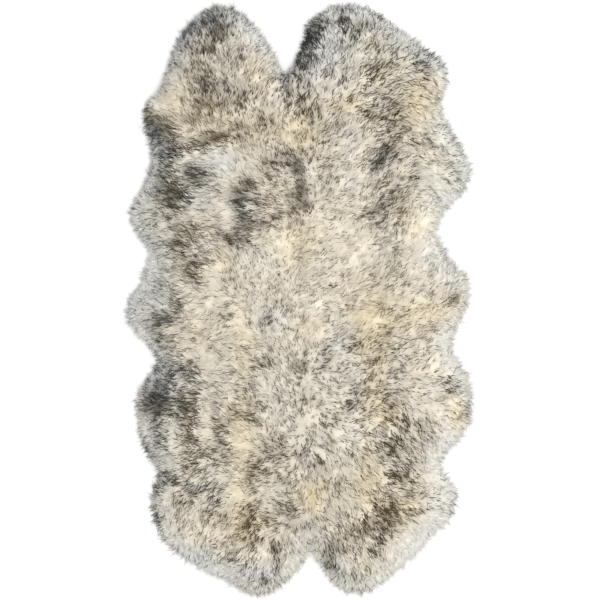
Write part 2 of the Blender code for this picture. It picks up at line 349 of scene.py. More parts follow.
# Patches where the tips are dark: pixel, half its length and width in pixels, the way it runs in
# degrees anticlockwise from the right, and how dark it is
Patch = namedtuple("Patch", "x y long wide turn strength")
DARK_PATCHES = [
    Patch(*row)
    for row in [
        (214, 14, 8, 6, 30, 0.7), (334, 14, 7, 6, 90, 0.55), (189, 28, 13, 7, 40, 0.75),
        (209, 20, 12, 8, 35, 0.9), (218, 33, 9, 8, 90, 1), (227, 18, 12, 8, 90, 0.55),
        (228, 29, 7, 7, 90, 0.7), (308, 38, 14, 9, 62, 1), (317, 24, 11, 7, 60, 1),
        (340, 44, 8, 6, 100, 0.6), (341, 24, 10, 6, 100, 0.85), (348, 40, 12, 5, 105, 0.6),
        (354, 31, 8, 5, 100, 0.75), (188, 46, 9, 8, 130, 0.55), (191, 73, 8, 6, 120, 0.75),
        (197, 68, 12, 8, 140, 0.55), (206, 45, 11, 7, 0, 0.7), (241, 56, 9, 7, 65, 0.5),
        (299, 70, 9, 6, 50, 0.55), (304, 52, 15, 9, 64, 0.9), (370, 60, 60, 26, 165, 0.3),
        (373, 72, 10, 8, 45, 0.75), (408, 57, 8, 7, 30, 0.5), (422, 70, 11, 7, 140, 0.9),
        (425, 62, 10, 7, 130, 0.6), (432, 52, 8, 6, 0, 0.5), (199, 104, 8, 7, 100, 0.85),
        (207, 84, 12, 8, 95, 0.7), (208, 102, 10, 9, 100, 0.85), (215, 90, 42, 26, 0, 0.34),
        (227, 84, 11, 9, 88, 0.75), (245, 92, 9, 7, 84, 0.6), (287, 98, 11, 6, 80, 0.6),
        (302, 91, 10, 7, 65, 0.6), (343, 79, 7, 6, 60, 0.6), (345, 97, 8, 6, 0, 0.6),
        (377, 90, 12, 6, 5, 0.6), (381, 102, 9, 7, 0, 0.55), (146, 111, 9, 8, 130, 0.8),
        (152, 121, 13, 9, 150, 0.95), (154, 134, 8, 8, 90, 0.9), (158, 125, 8, 8, 0, 1),
        (160, 131, 9, 8, 170, 1), (189, 120, 8, 7, 110, 0.6), (232, 109, 18, 7, 0, 0.4),
        (236, 106, 8, 7, 0, 0.6), (237, 130, 12, 7, 170, 0.65), (266, 118, 12, 14, 0, 0.5),
        (301, 106, 10, 7, 70, 0.6), (310, 112, 12, 9, 60, 0.6), (367, 112, 7, 5, 130, 0.7),
        (380, 122, 13, 6, 155, 0.85), (391, 112, 11, 6, 10, 0.75), (395, 119, 8, 6, 0, 0.7),
        (161, 138, 12, 8, 170, 0.9), (162, 159, 8, 7, 90, 0.7), (169, 148, 10, 7, 140, 0.85),
        (200, 144, 14, 5, 12, 0.9), (208, 139, 10, 8, 0, 0.9), (222, 137, 8, 5, 20, 0.85),
        (269, 163, 9, 6, 0, 0.8), (278, 160, 12, 5, 165, 0.8), (288, 154, 8, 7, 0, 0.6),
        (303, 157, 8, 6, 90, 0.6), (312, 155, 9, 7, 60, 0.6), (322, 141, 7, 7, 0, 0.6),
        (327, 160, 9, 7, 60, 0.55), (368, 156, 9, 5, 60, 0.6), (385, 153, 10, 6, 40, 1),
        (393, 158, 8, 7, 40, 0.75), (430, 148, 9, 4, 0, 0.55), (160, 184, 8, 7, 90, 0.8),
        (167, 177, 12, 9, 130, 0.62), (200, 177, 14, 10, 165, 1.15), (246, 185, 8, 6, 110, 0.9),
        (264, 176, 9, 6, 170, 0.55), (295, 166, 9, 7, 90, 1), (300, 192, 14, 6, 90, 1),
        (312, 182, 8, 7, 0, 0.55), (328, 184, 8, 6, 60, 0.55), (374, 166, 9, 8, 45, 0.65),
        (376, 185, 11, 6, 10, 0.55), (390, 185, 9, 8, 60, 0.55), (392, 173, 10, 5, 60, 0.6),
        (413, 178, 10, 6, 150, 0.55), (455, 175, 8, 8, 0, 0.6), (147, 221, 9, 6, 90, 0.55),
        (160, 196, 10, 9, 110, 0.8), (166, 214, 9, 8, 90, 0.65), (175, 197, 11, 9, 100, 1.1),
        (178, 202, 8, 8, 90, 0.9), (235, 200, 13, 9, 100, 1), (236, 219, 8, 7, 90, 0.9),
        (243, 219, 11, 8, 120, 0.95), (262, 224, 12, 4, 20, 0.7), (262, 203, 15, 7, 175, 0.6),
        (267, 217, 9, 6, 10, 0.6), (275, 206, 8, 6, 0, 0.55), (286, 212, 16, 4, 5, 0.75),
        (293, 198, 8, 9, 90, 0.8), (295, 224, 9, 8, 0, 0.55), (302, 205, 9, 6, 0, 1),
        (372, 211, 9, 5, 30, 0.9), (379, 218, 9, 6, 10, 0.6), (386, 203, 7, 5, 60, 0.7),
        (386, 197, 8, 6, 60, 0.6), (401, 205, 12, 6, 85, 0.6), (159, 242, 8, 7, 0, 0.6),
        (176, 243, 10, 12, 0, 0.7), (176, 229, 9, 8, 90, 0.6), (187, 231, 11, 7, 140, 0.75),
        (230, 236, 8, 6, 0, 0.9), (238, 236, 12, 7, 150, 0.9), (254, 226, 9, 6, 10, 0.85),
        (399, 248, 10, 5, 80, 0.6), (401, 228, 12, 5, 85, 0.65), (185, 283, 8, 6, 0, 0.5),
        (189, 260, 9, 8, 90, 0.7), (192, 271, 9, 8, 130, 1), (200, 258, 8, 4, 170, 0.85),
        (160, 308, 8, 6, 0, 0.6), (164, 286, 10, 8, 150, 0.6), (173, 300, 8, 7, 100, 0.8),
        (223, 312, 10, 8, 150, 0.85), (225, 286, 10, 7, 60, 0.75), (236, 308, 9, 6, 0, 0.5),
        (283, 306, 9, 7, 0, 0.55), (452, 298, 8, 6, 60, 0.8), (149, 334, 10, 7, 120, 0.75),
        (161, 319, 12, 7, 10, 0.9), (220, 321, 9, 6, 120, 0.5), (252, 321, 10, 7, 0, 0.55),
        (269, 316, 9, 6, 20, 0.55), (294, 329, 8, 7, 0, 0.55), (345, 338, 12, 9, 40, 0.42),
        (382, 337, 8, 7, 0, 0.55), (165, 345, 9, 7, 0, 0.55), (174, 367, 10, 7, 170, 0.75),
        (189, 371, 11, 8, 90, 0.75), (259, 359, 12, 7, 0, 0.55), (297, 352, 12, 7, 10, 0.5),
        (298, 364, 9, 7, 20, 0.8), (320, 368, 10, 7, 0, 0.5), (324, 350, 14, 7, 95, 0.6),
        (357, 345, 8, 6, 40, 0.65), (375, 356, 9, 6, 20, 0.55), (397, 373, 9, 7, 150, 0.55),
        (148, 404, 9, 9, 170, 1), (157, 401, 13, 11, 120, 1.15), (160, 387, 9, 9, 150, 1),
        (164, 376, 8, 7, 0, 0.65), (184, 398, 9, 8, 90, 0.75), (192, 393, 9, 7, 90, 0.8),
        (217, 401, 9, 7, 0, 0.55), (230, 404, 6, 4, 150, 0.6), (236, 389, 8, 7, 0, 0.6),
        (256, 401, 10, 7, 0, 0.55), (299, 397, 10, 7, 0, 0.55), (336, 388, 18, 7, 150, 0.45),
        (350, 402, 6, 5, 60, 0.55), (358, 387, 10, 7, 0, 0.5), (371, 376, 9, 6, 90, 0.55),
        (383, 387, 9, 7, 0, 0.55), (387, 402, 11, 8, 110, 0.65), (452, 385, 10, 8, 150, 0.6),
        (150, 419, 9, 8, 90, 0.8), (156, 433, 9, 8, 90, 0.55), (161, 419, 9, 7, 0, 0.6),
        (178, 429, 8, 7, 90, 0.6), (185, 420, 10, 7, 150, 0.85), (188, 408, 10, 9, 100, 0.85),
        (211, 417, 9, 8, 0, 0.6), (216, 424, 13, 6, 5, 0.65), (238, 413, 13, 7, 0, 0.7),
        (293, 432, 9, 7, 0, 0.55), (301, 424, 9, 7, 0, 0.5), (332, 419, 11, 8, 10, 0.65),
        (369, 406, 9, 8, 40, 0.6), (393, 421, 11, 7, 120, 0.7), (405, 423, 10, 8, 110, 0.55),
        (418, 427, 8, 4, 110, 0.6), (464, 412, 8, 7, 90, 0.5), (185, 463, 9, 7, 0, 0.55),
        (188, 437, 8, 6, 20, 0.6), (203, 452, 22, 5, 0, 0.55), (221, 450, 9, 7, 0, 0.6),
        (222, 442, 8, 6, 120, 0.7), (255, 454, 8, 7, 90, 0.6), (271, 438, 8, 6, 0, 0.7),
        (272, 446, 12, 8, 20, 0.75), (272, 452, 8, 7, 0, 0.8), (291, 452, 11, 9, 0, 0.6),
        (298, 452, 12, 10, 0, 0.45), (318, 463, 8, 6, 110, 0.65), (393, 443, 10, 5, 165, 0.75),
        (397, 455, 12, 4, 145, 0.6), (406, 464, 11, 7, 110, 0.65), (152, 492, 8, 7, 100, 0.7),
        (170, 478, 10, 7, 10, 0.65), (197, 474, 14, 7, 10, 0.6), (203, 488, 14, 5, 25, 0.65),
        (245, 483, 8, 6, 10, 0.85), (251, 466, 12, 9, 160, 0.75), (280, 480, 40, 32, 90, 0.36),
        (282, 478, 7, 5, 0, 0.8), (331, 491, 8, 7, 0, 0.6), (345, 480, 10, 6, 140, 0.55),
        (382, 490, 11, 6, 160, 0.6), (400, 477, 14, 5, 165, 0.7), (150, 513, 14, 5, 100, 0.75),
        (179, 500, 9, 7, 85, 0.6), (205, 522, 9, 8, 0, 0.6), (210, 512, 9, 5, 20, 0.6),
        (244, 517, 11, 8, 110, 1), (254, 505, 10, 8, 120, 0.6), (266, 515, 9, 7, 0, 0.85),
        (288, 512, 15, 4, 128, 0.75), (293, 523, 8, 7, 0, 0.7), (300, 518, 9, 7, 130, 0.7),
        (385, 524, 9, 6, 30, 0.75), (388, 507, 9, 6, 20, 0.95), (391, 519, 9, 7, 30, 0.65),
        (413, 511, 13, 3, 10, 0.75), (238, 530, 9, 9, 90, 0.6), (248, 538, 14, 7, 0, 0.7),
        (250, 530, 34, 22, 165, 0.34), (277, 552, 9, 5, 110, 0.75), (319, 547, 8, 7, 0, 0.8),
        (325, 546, 10, 6, 140, 0.9), (346, 551, 9, 6, 20, 0.55), (356, 532, 10, 7, 30, 0.75),
        (365, 525, 8, 6, 60, 0.85), (375, 552, 8, 4, 60, 0.8), (382, 542, 10, 7, 60, 0.65),
        (388, 538, 7, 6, 38, 0.7), (228, 557, 12, 4, 35, 0.55), (245, 563, 9, 6, 40, 0.75),
        (262, 578, 9, 7, 80, 0.6), (276, 580, 8, 6, 90, 0.45), (277, 567, 11, 3, 85, 0.7),
        (326, 562, 12, 5, 125, 0.8), (333, 570, 8, 5, 115, 0.9), (334, 577, 8, 7, 60, 0.6),
        (357, 575, 9, 6, 20, 0.55),
    ]
]

# Patches with hardly a dark tip, by the same columns. The light they add is painted light, and many lie
# on rims and hollows that are in shade
PALE_PATCHES = [
    Patch(*row)
    for row in [
        (322, 9, 7, 6, 0, 0.5), (262, 40, 20, 14, 120, 0.7), (329, 25, 7, 8, 90, 0.6),
        (333, 44, 8, 9, 90, 0.8), (403, 31, 9, 7, 150, 0.7), (353, 54, 7, 8, 90, 0.7),
        (414, 74, 8, 6, 140, 0.5), (163, 98, 14, 9, 30, 1), (164, 80, 8, 10, 60, 0.6),
        (234, 79, 8, 8, 90, 0.55), (321, 86, 7, 6, 0, 0.7), (335, 90, 7, 7, 0, 0.7),
        (355, 84, 8, 6, 30, 0.5), (378, 96, 8, 5, 0, 0.5), (446, 88, 8, 7, 150, 0.55),
        (276, 106, 8, 7, 90, 0.5), (373, 127, 8, 7, 0, 0.6), (423, 121, 8, 8, 0, 0.9),
        (442, 112, 8, 12, 90, 0.6), (218, 161, 15, 9, 10, 1), (354, 142, 12, 9, 90, 0.5),
        (361, 142, 11, 6, 90, 0.6), (398, 164, 7, 6, 0, 0.7), (430, 160, 8, 8, 0, 0.65),
        (188, 193, 6, 5, 0, 0.4), (216, 179, 11, 8, 0, 1), (249, 167, 8, 7, 0, 0.7),
        (352, 175, 8, 8, 0, 0.9), (369, 177, 7, 6, 45, 0.7), (436, 175, 11, 9, 60, 0.9),
        (135, 222, 22, 8, 80, 0.6), (185, 212, 7, 8, 90, 0.8), (204, 197, 8, 7, 0, 0.6),
        (217, 206, 9, 10, 90, 0.9), (222, 219, 8, 7, 0, 0.7), (246, 214, 8, 7, 0, 0.3),
        (452, 200, 8, 7, 0, 0.8), (268, 246, 14, 8, 160, 0.9), (327, 229, 9, 6, 0, 0.6),
        (341, 248, 9, 7, 0, 0.9), (360, 231, 8, 7, 0, 0.8), (371, 253, 8, 7, 0, 0.9),
        (418, 238, 26, 14, 90, 0.8), (140, 280, 10, 8, 90, 0.8), (147, 262, 11, 8, 90, 0.9),
        (173, 283, 8, 7, 150, 0.5), (205, 272, 9, 8, 0, 1), (267, 267, 9, 7, 0, 0.6),
        (357, 281, 8, 6, 0, 0.8), (419, 277, 8, 6, 0, 0.7), (131, 304, 18, 8, 75, 0.6),
        (158, 297, 9, 7, 90, 0.55), (184, 299, 8, 7, 90, 0.8), (213, 296, 14, 12, 90, 0.65),
        (307, 302, 9, 7, 0, 0.6), (382, 293, 8, 5, 0, 0.7), (410, 298, 12, 7, 10, 0.7),
        (416, 311, 9, 6, 10, 0.8), (432, 290, 9, 8, 0, 0.5), (441, 286, 8, 7, 0, 0.8),
        (137, 336, 12, 8, 140, 0.8), (227, 337, 7, 6, 0, 0.8), (238, 325, 14, 8, 100, 0.9),
        (309, 328, 9, 8, 30, 0.8), (354, 317, 7, 5, 0, 0.7), (370, 318, 12, 7, 90, 0.9),
        (455, 340, 24, 7, 80, 0.5), (194, 349, 8, 6, 0, 0.8), (206, 364, 8, 7, 0, 0.9),
        (430, 375, 10, 9, 0, 0.7), (225, 389, 7, 7, 0, 0.8), (266, 385, 8, 6, 0, 0.7),
        (430, 383, 9, 8, 0, 0.65), (432, 400, 18, 9, 95, 0.5), (139, 424, 8, 8, 0, 0.8),
        (166, 426, 8, 7, 90, 0.6), (199, 412, 22, 6, 90, 0.8), (218, 410, 8, 7, 0, 0.5),
        (389, 422, 7, 6, 120, 0.5), (419, 416, 8, 6, 0, 0.7), (170, 462, 8, 6, 150, 0.7),
        (238, 438, 22, 7, 90, 0.8), (349, 444, 9, 6, 0, 0.6), (404, 463, 8, 6, 110, 0.45),
        (451, 440, 12, 8, 60, 0.7), (192, 472, 7, 6, 0, 0.5), (207, 476, 8, 6, 0, 0.55),
        (232, 490, 26, 9, 95, 0.7), (258, 487, 8, 7, 0, 0.6), (264, 489, 10, 6, 0, 0.8),
        (346, 467, 8, 7, 0, 0.9), (346, 479, 9, 7, 140, 0.6), (366, 486, 11, 7, 90, 0.7),
        (373, 465, 7, 6, 0, 0.7), (382, 484, 8, 6, 160, 0.6), (437, 466, 14, 9, 90, 0.8),
        (149, 502, 8, 7, 90, 0.6), (166, 522, 10, 8, 120, 0.6), (189, 522, 8, 7, 0, 0.8),
        (260, 508, 8, 8, 0, 0.65), (318, 500, 14, 9, 70, 0.7), (333, 508, 9, 7, 60, 0.6),
        (350, 504, 8, 7, 90, 0.55), (186, 545, 20, 10, 145, 0.8), (213, 531, 8, 6, 0, 0.7),
        (302, 540, 8, 6, 90, 0.8), (310, 550, 24, 9, 60, 0.8), (352, 530, 7, 6, 30, 0.5),
        (411, 539, 30, 9, 38, 1), (419, 551, 38, 8, 40, 1), (220, 572, 16, 7, 150, 0.8),
        (222, 578, 24, 6, 160, 0.7), (240, 559, 7, 6, 0, 0.6), (257, 561, 8, 7, 90, 0.8),
        (287, 571, 10, 7, 60, 0.6), (331, 580, 8, 7, 0, 0.65), (352, 560, 16, 8, 20, 0.6),
        (367, 560, 8, 6, 20, 0.6),
    ]
]

# Patches where the wool is coarser, by the same columns
COARSE_PATCHES = [
    Patch(*row)
    for row in [
        (370, 70, 100, 70, 165, 1), (385, 470, 90, 70, 110, 1), (215, 500, 90, 55, 140, 0.8),
        (320, 570, 40, 30, 0, 0.8),
    ]
]

# Patches where the wool is yellow with lanolin, by the same columns
WARM_PATCHES = [
    Patch(*row)
    for row in [
        (374, 40, 10, 6, 0, 0.4), (262, 68, 16, 14, 60, 0.4), (167, 98, 16, 9, 30, 0.5),
        (348, 104, 12, 9, 0, 0.6), (424, 103, 18, 13, 60, 0.9), (146, 115, 12, 8, 0, 0.7),
        (200, 122, 30, 16, 0, 0.5), (265, 130, 30, 16, 0, 0.4), (297, 132, 14, 12, 0, 0.6),
        (404, 213, 8, 8, 0, 0.6), (296, 245, 18, 16, 60, 0.5), (429, 226, 12, 20, 90, 0.5),
        (220, 258, 14, 8, 150, 0.5), (420, 314, 48, 12, 10, 0.5), (240, 330, 26, 9, 90, 0.45),
        (312, 328, 12, 10, 0, 0.5), (372, 324, 24, 15, 90, 0.8), (376, 355, 30, 9, 90, 0.6),
        (374, 394, 14, 9, 90, 0.6), (384, 415, 12, 8, 30, 0.6), (460, 415, 14, 7, 90, 0.9),
        (240, 440, 28, 9, 90, 0.45), (370, 480, 26, 10, 90, 0.5), (238, 500, 26, 11, 90, 0.6),
        (240, 524, 14, 12, 0, 0.6), (312, 500, 12, 9, 110, 0.7), (400, 512, 16, 12, 0, 0.5),
    ]
]

# Patches where the wool is cool and its tips are blue-black, by the same columns
COOL_PATCHES = [
    Patch(*row)
    for row in [
        (355, 12, 30, 12, 0, 1), (186, 22, 30, 12, 40, 1), (322, 30, 40, 24, 60, 1),
        (366, 39, 24, 10, 150, 0.7), (388, 26, 34, 14, 150, 1), (217, 163, 15, 9, 10, 0.7),
        (275, 160, 20, 8, 170, 0.3), (350, 141, 14, 9, 90, 0.5), (380, 158, 16, 10, 60, 0.6),
        (197, 177, 18, 11, 165, 0.7), (349, 178, 14, 9, 90, 0.5), (432, 178, 12, 8, 0, 0.5),
        (470, 170, 24, 10, 90, 0.8), (146, 204, 50, 20, 90, 0.7), (190, 197, 14, 10, 0, 0.8),
        (229, 206, 10, 13, 90, 0.5), (238, 210, 14, 10, 100, 0.7), (200, 251, 12, 9, 0, 0.7),
        (456, 275, 20, 10, 120, 0.6), (140, 300, 60, 20, 90, 0.8), (244, 304, 12, 8, 0, 0.5),
        (364, 300, 10, 7, 0, 0.5), (267, 317, 16, 10, 0, 0.6), (345, 337, 13, 9, 40, 0.45),
        (461, 370, 14, 8, 120, 0.6), (148, 396, 50, 20, 90, 0.8), (431, 384, 10, 8, 0, 0.5),
        (441, 494, 16, 10, 60, 0.8), (452, 494, 12, 8, 60, 0.7), (150, 505, 50, 14, 100, 0.7),
        (240, 578, 40, 12, 170, 0.8), (330, 575, 26, 14, 120, 0.8), (230, 590, 60, 14, 160, 0.6),
    ]
]

WOOL_COOL, WOOL_CREAM, WOOL_YELLOW = "#DDDEDB", "#E4DDCD", "#E6D4AF"
TIP_BLUE_BLACK, TIP_BROWN = "#1D201F", "#443406"
WOOL_STOPS = [(0.0, WOOL_COOL), (0.40, WOOL_CREAM), (1.0, WOOL_YELLOW)]  # by how warm it is
TIP_STOPS = [(0.15, TIP_BLUE_BLACK), (0.55, TIP_BROWN)]
DIMMEST, LIGHTEST = 0.80, 0.97  # of the wool's colour
RIM_TURN = 0.060  # how far in from the edge the wool begins to change towards it
RIM_POWER = 1.5  # how much slower it changes at first, and its warmth once more
SIDE = 0.45  # from the rug's middle to about where its side edges run
SIDE_SLANT = 0.4  # how much the way from the dark rim to the pale one runs down the rug
EDGE_STEP = 0.003
EDGE_SPAN = 4  # steps either way over which an edge's direction is taken, and left free beside a seam
GRID_EDGE = 0.07  # of floor round the rug that the grids take in
PATCH_CORE, PATCH_EDGE = 0.28, 1.6  # how wide a patch's core is and how fast its edge fades

# What the tips' dark, the wool's warmth and its lightness are where nothing marks them, and how they
# drift over the fleece: how strongly, how far across, and the drift's seed
Drift = namedtuple("Drift", "strength across seed")
DARK_USUAL, WARM_USUAL, LIGHT_USUAL = 0.28, 0.44, 0.53
DARK_DRIFTS = [Drift(0.08, 0.045, 31), Drift(0.10, 0.022, 32)]
WARM_DRIFTS = [Drift(0.10, 0.12, 41)]
# The lightness drifts partly as the wool's own tone and partly as painted light and shade over the tufts
LIGHT_AND_TUFT_SHADE_DRIFTS = [Drift(0.12, 0.050, 51), Drift(0.10, 0.024, 52)]
PATCH_DRIFT = Drift(0.5, 0.019, 33)  # which breaks up the dark patches
DARK_KEPT = 0.06  # how much a full patch holds back of its dark
# A pale patch's added light is painted light
PALE_SHARE, PALE_PAINTED_LIGHT = 0.85, 0.28  # how much dark a pale patch takes away, and light it adds
WARM_SHARE, COOL_SHARE = 0.45, 0.30  # how much a warm or cool patch changes
# How much less dark and warm the rim is halfway between its sides, and what the lower right adds. The
# last pair is painted shade that dims the rim, most on the upper left, and painted light at the lower right
RIM_DARK, RIM_COOL, RIM_PAINTED_SHADE = (0.10, 0.30), (0.22, -0.04), (0.04, -0.10)


def free_edge_samples():
    """Close points on the hides' unsewn edges, each with the way that leads off the hide there."""
    places, ways = [], []
    closed_lines = {
        pelt: evenly(np.concatenate([outline, outline[:1]]), EDGE_STEP)[:-1]
        for pelt, outline in OUTLINES.items()
    }
    for pelt, closed in closed_lines.items():
        others = np.concatenate([closed_lines[other] for other in PELTS if other != pelt])
        ahead = np.roll(closed, -EDGE_SPAN, axis=0) - np.roll(closed, EDGE_SPAN, axis=0)
        ahead /= np.hypot(*ahead.T)[:, None] + 1e-9
        free = [np.hypot(*(others - place).T).min() > EDGE_SPAN * EDGE_STEP for place in closed]
        places.append(closed[free])
        ways.append(np.column_stack([ahead[:, 1], -ahead[:, 0]])[free])
    return np.concatenate(places), np.concatenate(ways)


EDGE_PLACES, EDGE_WAYS = free_edge_samples()
SEAM_ENDS = np.array([end for pelt in SEAM_OWNERS for end in seam_run(pelt)[[0, -1]]])
EDGE_TREE = tree_of(EDGE_PLACES)


def from_seam_end(places):
    """How far places are from the nearest end of a seam, at the rug's edge."""
    return np.array([np.hypot(*(SEAM_ENDS - place).T).min() for place in places])


def from_edge(places):
    """How far inside the nearest unsewn edge places are, less than 0 off the hide, and the way off it."""
    i, far = nearest(EDGE_TREE, places)
    off = ((places - EDGE_PLACES[i]) * EDGE_WAYS[i]).sum(1) > 0
    return np.where(off, -far, far), EDGE_WAYS[i]


def sampled(grid, low, pitch, places):
    """A grid's values at places between its points."""
    at = np.clip((places - low) / pitch, 0, np.array(grid.shape) - 1.001)
    i, j = at.astype(int).T
    u, v = (at - at.astype(int)).T
    near = grid[i, j] * (1 - v) + grid[i, j + 1] * v
    return near * (1 - u) + (grid[i + 1, j] * (1 - v) + grid[i + 1, j + 1] * v) * u


def waves(places, across, seed):
    """Smooth random values from -1 to 1, whose ups and downs are so far across."""
    low = np.array(solid_box[0][:2]) - 2 * GRID_EDGE
    size = np.ceil((np.array(solid_box[1][:2]) + 2 * GRID_EDGE - low) / across).astype(int) + 2
    grid = np.random.default_rng(seed).uniform(-1, 1, size)
    at = (places - low) / across
    whole = np.floor(at)
    eased = whole + (at - whole) ** 2 * (3 - 2 * (at - whole))
    return sampled(grid, np.zeros(2), 1.0, eased)


def world(x, y):
    """A pixel's place on the rug."""
    return np.array([(x - MIDDLE_PIXEL[0]) * PIXEL, (MIDDLE_PIXEL[1] - y) * PIXEL])


def patched(patches, places):
    """How strongly the patches mark each place: 1 in the middle of a full one, 0 away from all."""
    mark = np.zeros(len(places))
    for patch in patches:
        off = (places - world(patch.x, patch.y)) / PIXEL
        turn = radians(patch.turn)
        along = (off[:, 0] * cos(turn) + off[:, 1] * sin(turn)) / patch.long
        across = (off[:, 1] * cos(turn) - off[:, 0] * sin(turn)) / patch.wide
        fade = np.exp(-PATCH_CORE * (along**2 + across**2) ** PATCH_EDGE)
        mark = np.maximum(mark, patch.strength * fade)
    return mark


def drifting(usual, drifts, places):
    """A value that drifts round its usual one over the fleece."""
    for drift in drifts:
        usual = usual + drift.strength * waves(places, drift.across, drift.seed)
    return usual


def towards_rim(depth):
    """How far the wool has changed towards the rim, from 0 to 1, so far inside the edge."""
    return np.clip(1 - depth / RIM_TURN, 0, 1) ** RIM_POWER


def marks_at(places):
    """The wool's colours at places: how dark its tips are, how warm it is and how light, from 0 to 1. The
    lightness holds painted shade and light.
    """
    depth, _ = from_edge(places)
    rim = towards_rim(depth)
    across = np.clip((places[:, 0] - SIDE_SLANT * places[:, 1]) / SIDE, -1, 1)  # to the lower right
    rim_dark, rim_cool, rim_painted_shade = (usual + side * across for usual, side in (RIM_DARK, RIM_COOL, RIM_PAINTED_SHADE))
    bare_and_lit = patched(PALE_PATCHES, places)
    patch = patched(DARK_PATCHES, places)
    patch -= DARK_KEPT * patch**2
    patch += patch * (1 - patch) * drifting(0, [PATCH_DRIFT], places)
    dark = drifting(DARK_USUAL, DARK_DRIFTS, places) * (1 - rim_dark * rim)
    dark = np.maximum(dark, patch) * (1 - PALE_SHARE * bare_and_lit)
    warm = drifting(WARM_USUAL, WARM_DRIFTS, places) + WARM_SHARE * patched(WARM_PATCHES, places)
    warm -= np.maximum(rim_cool * rim**RIM_POWER, COOL_SHARE * patched(COOL_PATCHES, places))
    # A pale patch adds painted light here, and the drift is partly painted light and shade over the tufts
    light = drifting(LIGHT_USUAL, LIGHT_AND_TUFT_SHADE_DRIFTS, places) + PALE_PAINTED_LIGHT * bare_and_lit
    # Painted shade dims the rim, most on the upper left, and painted light brightens it at the lower right
    return dark, warm, light - rim_painted_shade * rim


# ------------------------------------------------------------------------------------------------
# The underwool: the short, dense, half-felted wool next to the skin. It holds the long locks up
# and shows only between them, so it is one lumpy body to each pelt, nearly as deep as the pile.

GRID = 0.004  # between the places where the pile's height is worked out
HIGH = 0.2  # above the whole rug
PILE_FALL = 0.8  # how steeply the pile falls away past the hide's edge
RIM_HEIGHT = 0.017  # of the pile over the hide's edge
RIM_REACH = 0.038  # from the hide's edge to where the last tips lie on the floor
TIP_REST = 0.0012  # a tip on the floor
UNDERWOOL_PITCH = 0.0105
UNDERWOOL_SHARE = 0.88  # of the pile's height
UNDERWOOL_CURLS = [Drift(0.0018, 0.016, 3), Drift(0.00108, 0.008, 4)]  # how its surface rises and falls
THINNEST, SOLE_GAP = 0.0015, 0.0002  # the underwool over the hide, and its underside
SHOULDER_FOOT = 0.04  # the share of its shoulder that its wall goes up at once
CRIMP_MM = 3.8462  # across a felted curl, drawn coarser than the wool's own crimp so that it shows
OVERHANG = 0.010  # how far it bulges over the hide's unsewn edge
OVERHANG_FROM = 0.060  # from a seam's end, where it has come to that
SHOULDER = 0.022  # across the rounding of its edge
HAZE = 0.81  # how far it has the tips' colour where they are darkest
HAZE_FROM = 0.10  # how dark the tips are where it begins to have their colour
HAZE_POWER = 1.45  # how much slower it gains it at first
WOOL_COLOUR = "wool_colour"

# Pixel, pixels over which a row counts, and how much further the rim's locks reach there
Reach = namedtuple("Reach", "x y across share")
REACHES = [
    Reach(*row)
    for row in [
        (154, 86, 20, 0.12), (164, 62, 16, 0.40), (254, 22, 12, 0.45), (262, 38, 10, 0.70),
        (192, 22, 14, 0.80), (290, 64, 18, 0.15), (300, 38, 14, 0.35), (280, 67, 8, 0.55),
        (318, 12, 10, 0.25), (392, 24, 10, 0.60), (230, 9, 8, 0.70), (206, 8, 8, 0.45), (345, 5, 18, 0.80),
        (150, 160, 12, 0.60), (134, 205, 12, 0.92), (142, 242, 14, 0.55), (132, 225, 10, 0.80),
        (138, 282, 12, 0.65), (128, 300, 10, 0.60), (136, 334, 8, 0.80), (148, 352, 16, 0.38),
        (138, 384, 12, 0.50), (136, 415, 12, 0.60), (156, 475, 12, 0.75), (150, 500, 12, 0.92),
        (232, 586, 16, 0.60), (320, 562, 16, 0.42), (334, 588, 14, 0.70), (196, 566, 16, 1.15),
        (446, 70, 12, 1.35), (443, 98, 12, 1.25), (470, 168, 14, 1.28), (445, 212, 12, 0.95),
        (440, 235, 14, 1.25), (466, 275, 14, 1.40), (458, 330, 16, 1.15), (466, 375, 10, 1.10),
        (464, 432, 12, 1.50), (441, 462, 10, 1.00), (420, 550, 22, 1.15), (392, 580, 18, 1.15),
        (430, 42, 14, 1.20),
    ]
]


def reach_share(places):
    """How far the wool reaches over the edge near places, against the usual."""
    share = np.ones(len(places))
    for spot in REACHES:
        off = ((places - world(spot.x, spot.y)) ** 2).sum(1) / (spot.across * PIXEL) ** 2
        share *= 1 + (spot.share - 1) * np.exp(-off)
    return share


def pelt_at(places):
    """The number of the pelt that each place is on, or -1 where the floor is."""
    found = np.full(len(places), -1)
    for number, pelt in enumerate(PELTS):
        found[inside(OUTLINES[pelt], places)] = number
    return found


def pile_heights():
    """The pile's height over a grid, as the solids have it on the hides and falling away past them."""
    corners, faces = [], []
    for pelt in PELTS:
        mesh = frame["nodes"]["pelt_" + pelt].data
        faces += [[i + len(corners) for i in face.vertices] for face in mesh.polygons]
        corners += [vertex.co for vertex in mesh.vertices]
    solids = BVHTree.FromPolygons(corners, faces)
    low = np.array(solid_box[0][:2]) - GRID_EDGE
    high = np.array(solid_box[1][:2]) + GRID_EDGE
    xs, ys = np.arange(low[0], high[0], GRID), np.arange(low[1], high[1], GRID)
    places = np.stack(np.meshgrid(xs, ys, indexing="ij"), -1).reshape(-1, 2)
    depth, _ = from_edge(places)
    heights = RIM_HEIGHT * np.clip(1 + depth / RIM_REACH, 0, 1) ** PILE_FALL
    down = Vector((0, 0, -1))
    for i in np.flatnonzero(pelt_at(places) >= 0):
        hit = solids.ray_cast(Vector((*places[i], HIGH)), down)[0]
        if hit is not None:
            heights[i] = hit.z
    heights = np.maximum(heights, TIP_REST).reshape(len(xs), len(ys))
    soft = np.pad(heights, 1, mode="edge")
    soft = (soft[:-2] + 2 * soft[1:-1] + soft[2:]) / 4
    return low, (soft[:, :-2] + 2 * soft[:, 1:-1] + soft[:, 2:]) / 4


